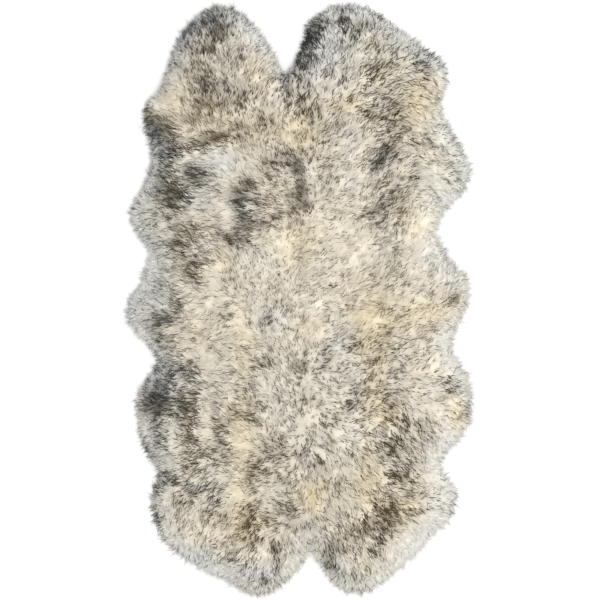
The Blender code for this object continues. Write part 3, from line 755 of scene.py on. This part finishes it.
def fleece_top(places):
    """The pile's height at places, on the hides and past them."""
    return sampled(PILE, PILE_LOW, GRID, places)


def overhung(outline):
    """A hide's outline, pushed out over its unsewn edges, and not at all where these run to a seam."""
    closed = np.concatenate([outline, outline[:1]])
    line = evenly(closed, UNDERWOOL_PITCH)[:-1]
    i, far = nearest(EDGE_TREE, line)
    near = np.clip(from_seam_end(line) / OVERHANG_FROM, 0, 1)
    out = OVERHANG * (far < EDGE_STEP) * near * np.minimum(reach_share(line), 1)
    return line + out[:, None] * EDGE_WAYS[i]


def underwool_top(places):
    """The underwool's height: most of the pile's, uneven with curls, and rounded off to its edge."""
    depth, _ = from_edge(places)
    full = drifting(UNDERWOOL_SHARE * fleece_top(places), UNDERWOOL_CURLS, places)
    inward = np.clip((depth + OVERHANG) / SHOULDER, SHOULDER_FOOT, 1)
    return np.maximum(full * np.sqrt(1 - (1 - inward) ** 2), HIDE_TOP + THINNEST)


def ramped(stops, values):
    """Colours of a ramp at values from 0 to 1."""
    colours = np.array([linear(code)[:3] for _, code in stops])
    at = [place for place, _ in stops]
    return np.column_stack([np.interp(values, at, colours[:, channel]) for channel in range(3)])


def fleece_colour(places):
    """The fleece's colour as it looks from a little way off, the tips' dark run into the cream."""
    dark, warm, light = marks_at(places)
    haze = (HAZE * np.clip((dark - HAZE_FROM) / (1 - HAZE_FROM), 0, 1) ** HAZE_POWER)[:, None]
    colour = ramped(WOOL_STOPS, warm) * (1 - haze) + ramped(TIP_STOPS, warm) * haze
    # The lightness carries painted shade and light: round the rim, over the tufts and in the pale patches
    return colour * (DIMMEST + (LIGHTEST - DIMMEST) * np.clip(light, 0, 1))[:, None]


def felted_underwool():
    """Dense crimped wool with the fleece's own colours, with painted shade in the crimp's hollows and
    painted light on its crests.
    """
    material, tree = finish_of("felted_underwool")
    place = add(tree, "TexCoord", out="Object")
    own = add(tree, "Attribute", attribute_name=WOOL_COLOUR)
    crimped = {"Scale": 1000 / CRIMP_MM, "Detail": 3.0, "Roughness": 0.6}
    crimp = add(tree, "TexNoise", {"Vector": place, **crimped})
    # Painted shade: the colour is darker in the crimp's hollows and lighter on its crests, as the bump
    # rises
    crimp_shade = add(tree, "MapRange", {"Value": crimp, "To Min": 0.90, "To Max": 1.06})
    shader = add(
        tree,
        "BsdfPrincipled",
        {
            "Base Color": add(tree, "VectorMath", {0: own, "Scale": crimp_shade}, operation="SCALE"),
            "Roughness": 1.0,
            "Normal": add(tree, "Bump", {"Strength": 0.4, "Distance": 0.0012, "Height": crimp}),
            "Sheen Weight": 0.1,
            "Specular IOR Level": 0.1,
        },
    )
    return finished(material, shader)


PILE_LOW, PILE = pile_heights()
PILE_SLOPES = np.gradient(PILE, GRID)
underwool_finish = felted_underwool()
underwools = {}
for pelt, outline in OUTLINES.items():
    shape = slab(overhung(outline), UNDERWOOL_PITCH, HIDE_TOP + SOLE_GAP, underwool_top)
    made = piece("underwool_" + pelt, *shape, underwool_finish)
    crisp(made)
    tint = made.data.color_attributes.new(WOOL_COLOUR, "FLOAT_COLOR", "POINT")
    tints = np.column_stack([fleece_colour(shape[0][:, :2]), np.ones(len(shape[0]))])
    tint.data.foreach_set("color", tints.astype(np.float32).ravel())
    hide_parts("pelt_" + pelt)
    underwools[pelt] = made


# ------------------------------------------------------------------------------------------------
# The locks: the long outer wool. Each is a broad cream staple with three fine wisps on it that end in
# the dark tips. The locks lean the way the fleece was brushed, and at the rim, where a fringe of
# thinner wool grows as well, they fall over the hide's edge to the floor.

LOCK_PITCH, LOCK_STRAY = 0.0107, 0.42  # from lock to lock, and the share of it that one may stray
RIM_LOCK_PITCH, RIM_LOCK_STRAY = 0.0050, 0.4
RIM_ROWS = [0.0015, 0.0060]  # how far inside the hide's edge the extra locks grow
TUFT_PITCH, TUFT_STRAY = 0.026, 0.4
TUFT_PULL, TUFT_PULL_LOST = 0.26, 0.7  # how far a tuft's tips run together, and the share lost at the rim
TUFT_DRIFT = Drift(0.10, 0.020, 21)  # how much higher some tufts stand
REACH_UPRIGHT, REACH_LYING = 0.010, 0.042  # from root to tip, seen from above
REACH_RIM = 0.037
REACH_FROM, REACH_TO = 0.80, 1.15  # how unlike the locks' reaches are
CORNER_REACH, CORNER_SHARE = 0.080, 0.62  # near a seam's end the rim's locks are shorter
WAY_SPREAD, HEIGHT_SPREAD = 0.16, 0.05  # how unlike the locks lie, in radians, and stand
WARM_SPREAD, LIGHT_SPREAD = 0.03, 0.07  # how unlike they are in colour
ROOT_SHARE = 0.45  # of the pile's height, inside the underwool
ROOT_RISE = 0.001  # of the lowest roots over the hide
OWN_SHADE, OWN_SHADE_RIM = 0.12, 0.40  # how far a wisp is shaded by its own round, past the pile's lie
LET_THROUGH = 0.8  # how much the thin wool at the rim is lit as if it lay flat
FINE, COARSE = 0.80, 1.20  # a dark tip's width where the wool is fine and where it is coarse
THIN_FROM, THIN_TO, THIN_RIM = 0.75, 1.20, 0.3  # how unlike the widths are, and how much less at the rim
ROLL = 0.4  # how far a wisp may be turned about its own length, in radians
FEW = 0.65  # the smaller, the fewer tips carry most of the dark
DARK_SHARED, DARK_OWN = 0.12, 0.9  # how unlike in dark locks are, and a lock's wisps
# At the rim the wisps and locks differ more in lightness, partly their own tone and partly painted shade
# between the strands
STRAND_PAINTED_SHADE, LOCK_PAINTED_SHADE_RIM = 0.20, 2.5  # how unlike in lightness wisps and locks are at the rim

# Pixel, the way the tips point in degrees anticlockwise from the right, and how flat they lie
Lie = namedtuple("Lie", "x y way flat")
LIE_REACH, LIE_FADE = 24, 1.6  # pixels over which a row counts, and how fast it fades
OUTWARD = 1.3  # how strongly the rim's locks turn outwards
SWINGS = [Drift(0.42, 0.055, 11), Drift(0.50, 0.026, 12)]  # how the lie wanders, in radians
SWING_UPRIGHT, SWING_LYING, SWING_RIM = 1.45, 0.90, 0.5  # more so upright, less lying and at the rim
LIES = [
    Lie(*row)
    for row in [
        (223, 40, 92, 0.8), (205, 40, 115, 0.8), (240, 45, 70, 0.8), (190, 62, 132, 0.8),
        (210, 60, 100, 0.7), (250, 64, 62, 0.8), (268, 72, 45, 0.8), (226, 84, 88, 0.9), (207, 86, 97, 0.9),
        (245, 94, 84, 0.8), (184, 90, 145, 0.8), (264, 94, 62, 0.7), (160, 102, 160, 0.9),
        (200, 106, 118, 0.8), (228, 106, 88, 0.6), (276, 104, 80, 0.5), (188, 122, 130, 0.8),
        (212, 126, 132, 0.6), (238, 122, 110, 0.3), (262, 120, 60, 0.4), (162, 132, 174, 0.9),
        (205, 145, 184, 1.0), (224, 138, 195, 0.9), (246, 146, 116, 0.6), (272, 146, 80, 0.3),
        (216, 162, 165, 1.0), (180, 160, 150, 1.0), (160, 178, 155, 1.0), (199, 180, 176, 1.0),
        (247, 182, 118, 0.9), (278, 164, 160, 0.7), (268, 184, 170, 0.6), (225, 200, 172, 0.9),
        (176, 200, 150, 1.0), (156, 214, 168, 1.0), (243, 216, 180, 1.0), (282, 210, 176, 0.9),
        (188, 232, 162, 1.0), (208, 240, 175, 1.0), (165, 248, 178, 0.9), (232, 238, 160, 0.8),
        (262, 240, 195, 0.4), (195, 270, 155, 1.0), (160, 278, 157, 0.9), (218, 274, 174, 0.9),
        (246, 272, 60, 0.3), (272, 268, 100, 0.2), (174, 300, 163, 0.9), (200, 306, 170, 0.9),
        (224, 316, 215, 0.6), (152, 316, 184, 1.0), (210, 342, 184, 0.9), (252, 302, 120, 0.2),
        (270, 318, 60, 0.3), (244, 344, 170, 0.5), (160, 345, 212, 0.9), (180, 370, 174, 1.0),
        (222, 360, 178, 0.9), (254, 362, 158, 0.8), (282, 384, 140, 0.6), (280, 344, 140, 0.3),
        (240, 390, 152, 0.8), (162, 398, 182, 1.0), (190, 410, 172, 1.0), (216, 424, 176, 1.0),
        (254, 420, 155, 0.8), (286, 418, 96, 0.3), (168, 440, 174, 0.8), (192, 440, 190, 0.9),
        (222, 448, 192, 0.8), (276, 446, 120, 0.3), (174, 478, 184, 0.9), (204, 488, 207, 0.8),
        (252, 474, 178, 0.9), (278, 466, 205, 0.5), (178, 510, 244, 0.7), (214, 516, 220, 0.5),
        (240, 520, 215, 0.6), (268, 512, 190, 0.5), (284, 504, 140, 0.8), (188, 538, 232, 0.7),
        (214, 548, 226, 0.7), (210, 564, 217, 0.9), (238, 564, 220, 0.9), (262, 574, 262, 0.9),
        (278, 556, 268, 0.8), (300, 532, 312, 0.8), (250, 545, 235, 0.6), (228, 485, 190, 0.7),
        (316, 60, 112, 0.9), (330, 35, 113, 0.9), (342, 52, 96, 0.9), (354, 30, 100, 0.9),
        (368, 48, 66, 0.9), (386, 45, 58, 0.9), (302, 88, 78, 0.9), (322, 80, 75, 0.8), (346, 74, 76, 0.9),
        (372, 72, 52, 0.9), (394, 56, 45, 0.9), (412, 50, 30, 0.9), (424, 62, -60, 0.8), (400, 78, 5, 0.9),
        (380, 88, 12, 0.9), (354, 90, 32, 0.9), (334, 98, 48, 0.8), (320, 114, 62, 0.9),
        (298, 136, 80, 0.2), (298, 176, 150, 0.1), (300, 200, 190, 0.1), (302, 226, 40, 0.2),
        (322, 138, 62, 0.8), (342, 116, 60, 0.4), (347, 134, 92, 0.8), (366, 112, 15, 0.7),
        (368, 140, 48, 0.8), (390, 116, 25, 0.8), (412, 114, -42, 0.9), (426, 124, -48, 0.8),
        (404, 134, -35, 0.8), (430, 140, -35, 0.8), (386, 153, 38, 0.9), (372, 166, 38, 0.9),
        (392, 174, 58, 0.8), (414, 158, 0, 0.9), (412, 180, -30, 0.8), (436, 166, 3, 0.9),
        (352, 172, 40, 0.5), (322, 170, 42, 0.4), (336, 152, 52, 0.6), (368, 192, 35, 0.5),
        (446, 186, -25, 0.9), (396, 196, 30, 0.5), (320, 200, 20, 0.4), (304, 256, 24, 0.5),
        (342, 232, 25, 0.5), (330, 264, 25, 0.6), (386, 206, 52, 0.9), (376, 220, 35, 0.9),
        (400, 232, 80, 0.5), (368, 242, 25, 0.6), (418, 238, 25, 0.4), (436, 254, 50, 0.7),
        (452, 290, 32, 0.9), (436, 318, 38, 0.9), (452, 338, 36, 0.9), (388, 270, 50, 0.7),
        (357, 284, 46, 0.7), (318, 282, 25, 0.4), (352, 308, 10, 0.7), (378, 308, 20, 0.6),
        (408, 314, 25, 0.8), (340, 340, 42, 0.6), (360, 346, 38, 0.8), (302, 328, 60, 0.2),
        (326, 364, 10, 0.2), (350, 370, -10, 0.4), (302, 366, 60, 0.2), (386, 338, 25, 0.7),
        (398, 370, 20, 0.4), (374, 368, 30, 0.3), (426, 360, 46, 0.8), (332, 392, -40, 0.3),
        (356, 400, 50, 0.5), (388, 408, -40, 0.6), (420, 390, 25, 0.6), (448, 376, -10, 0.8),
        (452, 392, -60, 0.8), (408, 420, -58, 0.8), (422, 436, -60, 0.8), (394, 444, -30, 0.9),
        (374, 444, -20, 0.9), (398, 458, -48, 0.9), (404, 472, -30, 0.9), (364, 468, -50, 0.9),
        (332, 458, -56, 0.9), (352, 486, -50, 0.9), (306, 440, -75, 0.3), (324, 484, -58, 0.8),
        (308, 478, -70, 0.4), (388, 500, -15, 0.7), (368, 524, -58, 0.7), (424, 486, 15, 0.5),
        (434, 410, -20, 0.5), (458, 418, -30, 0.9), (344, 524, -58, 0.9), (328, 548, -65, 0.8),
        (386, 530, -52, 0.7), (374, 556, -68, 0.8), (412, 526, -42, 0.9), (350, 568, -75, 0.9),
        (392, 556, -55, 0.9),
    ]
]

# The map that colours the wisps: a column of cells for each warmth and a row for each shade. Across a
# cell the tips grow darker, and up a cell a wisp runs from root to tip.
WARMTHS, SHADES = 8, 8
CELL_EDGE = 0.06  # of a cell, left free on each side
STRIP = 0.03  # the width of a wisp in its cell
FAINTEST = 0.08  # how dark the marks are where a tip begins to darken
ROOT_CELL = 0.1  # how far up its cell a wisp's root cap goes
MAP = "OFBake"  # the map's name


def unit(ways):
    """Ways on the floor, each made one long."""
    return ways / (np.hypot(*ways.T)[:, None] + 1e-9)


def turned(ways, angles):
    """Ways on the floor, each turned anticlockwise by its angle."""
    c, s = np.cos(angles), np.sin(angles)
    return np.column_stack([ways[:, 0] * c - ways[:, 1] * s, ways[:, 0] * s + ways[:, 1] * c])


def lie_of(places):
    """The way that locks lean at places, how flat they lie, and how near the rim is, from 0 to 1."""
    way, flat, total = np.zeros((len(places), 2)), np.zeros(len(places)), np.full(len(places), 1e-6)
    for lie in LIES:
        off = (places - world(lie.x, lie.y)) / PIXEL / LIE_REACH
        weight = np.exp(-(off**2).sum(1) * LIE_FADE)
        way += weight[:, None] * [cos(radians(lie.way)), sin(radians(lie.way))]
        flat += weight * lie.flat
        total += weight
    depth, outward = from_edge(places)
    rim = towards_rim(depth)
    way = unit(unit(way) * (1 - rim)[:, None] + outward * OUTWARD * rim[:, None])
    flat = flat / total * (1 - rim) + rim
    swing = drifting(0, SWINGS, places) * (SWING_UPRIGHT - SWING_LYING * flat) * (1 - SWING_RIM * rim)
    return turned(way, swing), flat, rim


def strayed(places, share, pitch, rng):
    """Places, each moved a little at random."""
    return places + rng.uniform(-share, share, places.shape) * pitch


def lock_roots(rng):
    """Where locks grow: all over the hides, a little unevenly, and closer along their unsewn edges."""
    roots = lattice(np.array(solid_box[0][:2]), np.array(solid_box[1][:2]), LOCK_PITCH)
    rows = [strayed(roots, LOCK_STRAY, LOCK_PITCH, rng)]
    skip = round(RIM_LOCK_PITCH / EDGE_STEP)
    for inset in RIM_ROWS:
        row = EDGE_PLACES[::skip] - inset * EDGE_WAYS[::skip]
        rows.append(strayed(row, RIM_LOCK_STRAY, RIM_LOCK_PITCH, rng))
    roots = np.concatenate(rows)
    return roots[pelt_at(roots) >= 0]


def tuft_of(roots, rng):
    """The middle of the tuft that each lock belongs to."""
    middles = strayed(lattice(roots.min(0), roots.max(0), TUFT_PITCH), TUFT_STRAY, TUFT_PITCH, rng)
    return middles[nearest(tree_of(middles), roots)[0]]


def uneven(rng, count):
    """Values round 0 of which most lie a little below it and a few far above."""
    return rng.gamma(FEW, 1 / FEW, count) - 1


Locks = namedtuple("Locks", "roots pelts way reach tips rim height darker warmer lighter")


def grown_locks(rng):
    """Every lock of the rug: where it grows, how it leans and where its tip comes to lie, and how
    much darker, warmer and lighter than the marks it is."""
    roots = lock_roots(rng)
    count = len(roots)
    way, flat, rim = lie_of(roots)
    way = turned(way, rng.normal(0, WAY_SPREAD, count))
    reach = REACH_UPRIGHT + (REACH_LYING - REACH_UPRIGHT) * flat
    reach = reach * (1 - rim) + REACH_RIM * rim
    reach *= 1 + rim * (reach_share(roots) - 1)
    short = CORNER_SHARE + (1 - CORNER_SHARE) * np.clip(from_seam_end(roots) / CORNER_REACH, 0, 1)
    reach *= 1 - rim * (1 - short)
    reach *= rng.uniform(REACH_FROM, REACH_TO, count)
    tufts = tuft_of(roots, rng)
    tuft_way, _, _ = lie_of(tufts)
    pull = TUFT_PULL * (1 - TUFT_PULL_LOST * rim)[:, None]
    tips = (roots + way * reach[:, None]) * (1 - pull) + (tufts + tuft_way * reach[:, None]) * pull
    height = drifting(1, [TUFT_DRIFT], tufts) + rng.normal(0, HEIGHT_SPREAD, count)
    darker = uneven(rng, count)
    warmer, lighter = (rng.normal(0, spread, count) for spread in (WARM_SPREAD, LIGHT_SPREAD))
    return Locks(roots, pelt_at(roots), way, reach, tips, rim, height, darker, warmer, lighter)


# Wisps of one kind: name and how many to a lock; how far from the lock's middle they grow and how far
# they run together again; length, how much shorter at the rim, and height against the lock's; width and
# thickness at the root; how far they bow, how soon they climb and how far their tips sink again; how
# unlike in dark they are; the places of their rings with the width there, and the ring whose place
# gives how dark each ring and the tip are
Wisp = namedtuple(
    "Wisp", "name each spread gather length short high width thick bow climb sink vary rings taper marks"
)
STAPLES = Wisp(
    "staple", 1, spread=0.0030, gather=0.90, length=0.92, short=0.30, high=0.94, width=0.0065, thick=0.0026,
    bow=0.08, climb=1.6, sink=0.06, vary=0.10, rings=[0.0, 0.45], taper=[1.0, 1.0], marks=[0, 1, 2],
)
TIPS = Wisp(
    "tips", 3, spread=0.0045, gather=0.15, length=1.16, short=0.06, high=1.01, width=0.0021, thick=0.0018,
    bow=0.20, climb=1.3, sink=0.03, vary=1.60, rings=[0.0, 0.68], taper=[0.9, 1.0], marks=[2, 2, 2],
)
FRINGE = Wisp(
    "fringe", 3, spread=0.0045, gather=0.90, length=1.04, short=0.06, high=0.80, width=0.0027, thick=0.0018,
    bow=0.16, climb=1.2, sink=0.0, vary=0.80, rings=[0.0, 0.40, 0.74], taper=[1.0, 0.9, 0.6],
    marks=[2, 2, 2, 2],
)
FRINGE_FROM = 0.8  # how near to the edge the fringe grows, as towards_rim has it
LENGTH_FROM, LENGTH_TO, LENGTH_RIM = 0.88, 1.08, 0.10  # how unlike in length wisps are, more at the rim
LEAN_POWER = 1.5  # how much slower a wisp leans over at first
BOW_TIP = 0.6  # how far a bowed wisp's tip swings back past its line


def wisp_paths(kind, locks, rng):
    """The points, root to tip, along one wisp of this kind in each lock."""
    count = len(locks.roots)
    start = locks.roots + kind.spread * rng.normal(0, 1, (count, 2))
    side = turned(locks.way, np.full(count, pi / 2))
    bow = rng.normal(0, kind.bow, count) * locks.reach
    length = kind.length * rng.uniform(LENGTH_FROM, LENGTH_TO, count)
    length *= 1 + LENGTH_RIM * locks.rim * rng.normal(0, 1, count)
    length *= 1 - kind.short * locks.rim
    high = kind.high * locks.height
    floor = np.minimum(ROOT_SHARE * fleece_top(locks.roots), fleece_top(start))
    paths = np.empty((count, len(kind.rings) + 1, 3))
    for k, along in enumerate([*kind.rings, 1.0]):
        lean = along**LEAN_POWER
        rise = sin(min(1.0, along * kind.climb) * pi / 2) - kind.sink * along**2
        gather = kind.gather * along
        line = locks.roots + (locks.tips - locks.roots) * (lean * length)[:, None]
        own = start + (line - locks.roots)
        bent = bow * (4 * lean * (1 - lean) - BOW_TIP * lean)
        places = own * (1 - gather) + line * gather + side * bent[:, None]
        top = fleece_top(places) * high
        paths[:, k, :2] = places
        paths[:, k, 2] = np.maximum(floor * (1 - rise) + top * rise, TIP_REST)
    paths[:, 0, 2] = np.maximum(paths[:, 0, 2], HIDE_TOP + ROOT_RISE)
    return paths


def pile_normals(places):
    """Which way the pile's surface faces at places."""
    slopes = [sampled(slope, PILE_LOW, GRID, places) for slope in PILE_SLOPES]
    normals = np.column_stack([-slopes[0], -slopes[1], np.ones(len(places))])
    return normals / np.linalg.norm(normals, axis=1)[:, None]


def wisp_mesh(kind, paths, rim, scale, roll):
    """Three-sided tapering wisps round their paths: corners, shading normals, and faces by corner count."""
    count, rings = len(paths), len(kind.rings)
    way = np.gradient(paths, axis=1)
    way /= np.linalg.norm(way, axis=2)[..., None] + 1e-12
    run = paths[:, -1, :2] - paths[:, 0, :2]
    level = np.column_stack([-run[:, 1], run[:, 0], np.zeros(count)])
    level /= np.linalg.norm(level, axis=1)[:, None] + 1e-12
    corners = np.empty((count, 3 * rings + 1, 3))
    rounds = np.zeros_like(corners)
    for k, share in enumerate(kind.taper):
        up = np.cross(level, way[:, k])
        up *= np.where(up[:, 2] < 0, -1, 1)[:, None]
        for corner in range(3):
            angle = roll + pi / 2 + 2 * pi * corner / 3
            spoke = np.cos(angle)[:, None] * level * kind.width + np.sin(angle)[:, None] * up * kind.thick
            corners[:, 3 * k + corner] = paths[:, k] + 0.5 * share * scale[:, None] * spoke
            rounds[:, 3 * k + corner] = np.cos(angle)[:, None] * level + np.sin(angle)[:, None] * up
    corners[:, -1] = paths[:, -1]
    corners[..., 2] = np.maximum(corners[..., 2], TIP_REST / 2)
    corners, rounds = corners.reshape(-1, 3), rounds.reshape(-1, 3)
    rim = np.repeat(rim, 3 * rings + 1)[:, None]
    own = OWN_SHADE + (OWN_SHADE_RIM - OWN_SHADE) * rim
    lit = pile_normals(corners[:, :2]) + rim * [0, 0, LET_THROUGH]
    normals = own * rounds + (1 - own) * lit
    normals /= np.linalg.norm(normals, axis=1)[:, None]
    starts = (3 * rings + 1) * np.arange(count)[:, None, None]
    around = [(0, 1), (1, 2), (2, 0)]
    quads = [
        [3 * k + a, 3 * k + b, 3 * k + 3 + b, 3 * k + 3 + a] for k in range(rings - 1) for a, b in around
    ]
    last = 3 * (rings - 1)
    ends = [[last + a, last + b, last + 3] for a, b in around] + [[2, 1, 0]]
    return corners, normals, np.array(quads)[None] + starts, np.array(ends)[None] + starts


def wisp_map(kind, locks, paths, rng):
    """Each wisp's strip on the colour map: one (across, up) pair for every corner of its faces."""
    places = paths[:, kind.marks, :2]
    dark, warm, light = (m.reshape(len(paths), -1) for m in marks_at(places.reshape(-1, 2)))
    own = kind.vary * (DARK_SHARED * locks.darker + DARK_OWN * uneven(rng, len(paths)))
    dark = np.clip(dark + dark * (1 - dark) ** 2 * own[:, None], 0, 1)
    warm = np.clip(warm[:, -1] + locks.warmer, 0, 1)
    # At the rim the wisps' lightness varies more, partly as painted shade between the strands
    strand = rng.normal(0, STRAND_PAINTED_SHADE, len(paths)) * locks.rim
    light = np.clip(light[:, -1] + locks.lighter * (1 + LOCK_PAINTED_SHADE_RIM * locks.rim) + strand, 0, 1)

    cell = 1 - 2 * CELL_EDGE
    column = np.floor(warm * (WARMTHS - 0.001)) + CELL_EDGE
    left = (column[:, None] + dark * (cell - STRIP)) / WARMTHS
    right, middle = left + STRIP / WARMTHS, left + STRIP / WARMTHS / 2
    foot = (np.floor(light * (SHADES - 0.001)) + CELL_EDGE) / SHADES
    up = [foot + cell * along / SHADES for along in [*kind.rings, 1.0]]
    quad = []
    for k in range(len(kind.rings) - 1):
        low = left[:, k], up[k], right[:, k], up[k]
        high = right[:, k + 1], up[k + 1], left[:, k + 1], up[k + 1]
        quad += [np.stack([*low, *high], -1)] * 3
    tip = [np.stack([left[:, -2], up[-2], right[:, -2], up[-2], middle[:, -1], up[-1]], -1)] * 3
    cap = up[0] + ROOT_CELL * cell / SHADES
    root = [np.stack([left[:, 0], up[0], right[:, 0], up[0], middle[:, 0], cap], -1)]
    return np.stack(quad, 1), np.stack(tip + root, 1)


def wisps(name, kind, locks, rng, material):
    """One piece: all the wisps of one kind on one pelt."""
    every = Locks(*[np.repeat(values, kind.each, axis=0) for values in locks])
    paths = wisp_paths(kind, every, rng)
    count = len(paths)
    scale = rng.uniform(THIN_FROM, THIN_TO, count) * (1 - THIN_RIM * every.rim)
    if kind is TIPS:
        scale *= FINE + (COARSE - FINE) * patched(COARSE_PATCHES, every.roots)
    roll = rng.uniform(-ROLL, ROLL, count)
    corners, normals, quads, ends = wisp_mesh(kind, paths, every.rim, scale, roll)
    quad_map, end_map = wisp_map(kind, every, paths, rng)
    mesh = bpy.data.meshes.new(name)
    mesh.vertices.add(len(corners))
    mesh.vertices.foreach_set("co", corners.astype(np.float32).ravel())
    loops = np.concatenate([quads.ravel(), ends.ravel()])
    mesh.loops.add(len(loops))
    mesh.loops.foreach_set("vertex_index", loops.astype(np.int32))
    quad_count, end_count = quads.shape[0] * quads.shape[1], ends.shape[0] * ends.shape[1]
    mesh.polygons.add(quad_count + end_count)
    starts = np.concatenate([4 * np.arange(quad_count), 4 * quad_count + 3 * np.arange(end_count)])
    mesh.polygons.foreach_set("loop_start", starts.astype(np.int32))
    layer = mesh.uv_layers.new(name=MAP)
    layer.uv.foreach_set("vector", np.concatenate([quad_map.ravel(), end_map.ravel()]).astype(np.float32))
    mesh.update(calc_edges=True)
    mesh.shade_smooth()
    mesh.normals_split_custom_set_from_vertices(normals.tolist())
    made = laid(mesh, material)
    return made


def wool_finish(name, starts, fade, deepest, full_at, haze):
    """Long wool, silky and cream, with dark tips. The dark starts so far along a wisp where it is faint
    and where it is full, fades in over so much of it, is deepest at its tip where the marks are full,
    and a haze of it lies over the whole wisp."""
    material, tree = finish_of(name)
    strip = add(tree, "UVMap", uv_map=MAP)
    across, up = (add(tree, "SeparateXYZ", {"Vector": strip}, out=axis) for axis in "XY")
    across = add(tree, "Math", {0: across, 1: float(WARMTHS)}, operation="MULTIPLY")
    up = add(tree, "Math", {0: up, 1: float(SHADES)}, operation="MULTIPLY")
    warm, shade = (add(tree, "Math", {0: cells}, operation="FLOOR") for cells in (across, up))
    dark, along = (add(tree, "Math", {0: cells}, operation="FRACT") for cells in (across, up))
    within = {"From Min": CELL_EDGE, "From Max": 1 - CELL_EDGE}
    dark, along = (add(tree, "MapRange", {"Value": share, **within}) for share in (dark, along))
    warm = add(tree, "Math", {0: warm, 1: 1 / (WARMTHS - 1)}, operation="MULTIPLY")
    wool, tip = (add(tree, "ValToRGB", {"Fac": warm}, stops=stops) for stops in (WOOL_STOPS, TIP_STOPS))

    steep = add(tree, "Math", {0: dark, 1: 2.0}, operation="POWER")
    begins = add(tree, "MapRange", {"Value": steep, "To Min": starts[0], "To Max": starts[1]})
    past = add(tree, "Math", {0: along, 1: begins}, operation="SUBTRACT")
    past = add(tree, "MapRange", {"Value": past, "From Max": fade, "To Max": deepest})
    depth = add(tree, "MapRange", {"Value": dark, "From Min": FAINTEST, "From Max": full_at})
    tipped = add(tree, "Math", {0: past, 1: depth}, operation="MULTIPLY")
    hazed = add(tree, "MapRange", {"Value": dark, "From Min": HAZE_FROM})
    hazed = add(tree, "Math", {0: hazed, 1: HAZE_POWER}, operation="POWER")
    hazed = add(tree, "Math", {0: hazed, 1: haze}, operation="MULTIPLY")
    tipped = add(tree, "Math", {0: tipped, 1: hazed}, operation="MAXIMUM")
    colour = add(tree, "Mix", {"Factor": tipped, 6: wool, 7: tip}, out=2, data_type="RGBA")

    # Each lock is a little lighter or darker than the next, and the shade rows also carry the painted shade
    # and light of the rim, the tufts and the pale patches
    shades = {"From Max": float(SHADES - 1), "To Min": DIMMEST, "To Max": LIGHTEST}
    bright = add(tree, "MapRange", {"Value": shade, **shades})
    shader = add(
        tree,
        "BsdfPrincipled",
        {
            "Base Color": add(tree, "VectorMath", {0: colour, "Scale": bright}, operation="SCALE"),
            "Roughness": add(tree, "MapRange", {"Value": tipped, "To Min": 0.85, "To Max": 0.60}),
            "Sheen Weight": 0.04,
            "Specular IOR Level": 0.10,
        },
    )
    return finished(material, shader)


rng = np.random.default_rng(7)
locks = grown_locks(rng)
staple_finish = wool_finish(
    "long_wool_staple", starts=(1.0, 0.10), fade=0.50, deepest=0.86, full_at=0.80, haze=HAZE
)
tip_finish = wool_finish(
    "dark_wool_tips", starts=(0.60, -0.30), fade=0.26, deepest=0.97, full_at=0.32, haze=0.0
)
fleece = {pelt: [underwools[pelt]] for pelt in PELTS}
for number, pelt in enumerate(PELTS):
    grown = Locks(*[values[locks.pelts == number] for values in locks])
    edge = Locks(*[values[grown.rim > FRINGE_FROM] for values in grown])
    for kind, where, finish in [
        (STAPLES, grown, staple_finish), (TIPS, grown, tip_finish), (FRINGE, edge, staple_finish)
    ]:
        fleece[pelt].append(wisps(f"{kind.name}_{pelt}", kind, where, rng, finish))


# ------------------------------------------------------------------------------------------------
# The photographer's floor, light and camera: a white sweep under a broad soft light, seen from
# straight above.

FLOOR_HALF = 15.0
FLOOR_WHITE, SKY_WHITE = "#DCDCDB", "#F8F8F8"
SKY_STRENGTH = 0.90
GRAIN_MM = 25.0  # across the paper's unevenness
CAMERA_HEIGHT = 5.4
AIM_PIXEL = (298.7, 299.5)  # which the camera stands over
FRAME_WIDTH = 1.875  # of floor across the picture
FAR = 50.0  # past the floor's far corners, also from beside the rug

bpy.ops.mesh.primitive_plane_add(size=2 * FLOOR_HALF)
floor = bpy.context.object
floor.name = "floor"
floor_finish, tree = finish_of("white_paper_sweep")
grain = add(tree, "TexNoise", {"Scale": 1000 / GRAIN_MM, "Detail": 2.0})
rough = add(tree, "MapRange", {"Value": grain, "To Min": 0.85, "To Max": 0.95})
shader = add(tree, "BsdfPrincipled", {"Base Color": linear(FLOOR_WHITE), "Roughness": rough})
floor.data.materials.append(finished(floor_finish, shader))

sky = bpy.data.worlds.new("studio")
sky.use_nodes = True
sky.node_tree.nodes["Background"].inputs["Color"].default_value = linear(SKY_WHITE)
sky.node_tree.nodes["Background"].inputs["Strength"].default_value = SKY_STRENGTH
bpy.context.scene.world = sky

Lamp = namedtuple("Lamp", "name place size power")
LAMPS = [
    Lamp("key_light", (3.2, 0.6, 4.8), 2.5, 180.0),
    Lamp("fill_light", (-1.8, -0.8, 5.0), 3.0, 85.0),
]
for lamp in LAMPS:
    data = bpy.data.lights.new(lamp.name, "AREA")
    data.size = lamp.size
    data.energy = lamp.power
    light = bpy.data.objects.new(lamp.name, data)
    light.location = lamp.place
    light.rotation_euler = (-Vector(lamp.place)).to_track_quat("-Z", "Y").to_euler()
    bpy.context.scene.collection.objects.link(light)

lens = bpy.data.cameras.new("camera")
lens.lens = lens.sensor_width * CAMERA_HEIGHT / FRAME_WIDTH
lens.clip_end = FAR
camera = bpy.data.objects.new("camera", lens)
camera.location = (*world(*AIM_PIXEL), CAMERA_HEIGHT)
bpy.context.scene.collection.objects.link(camera)
bpy.context.scene.camera = camera
bpy.context.scene.view_settings.view_transform = "Standard"
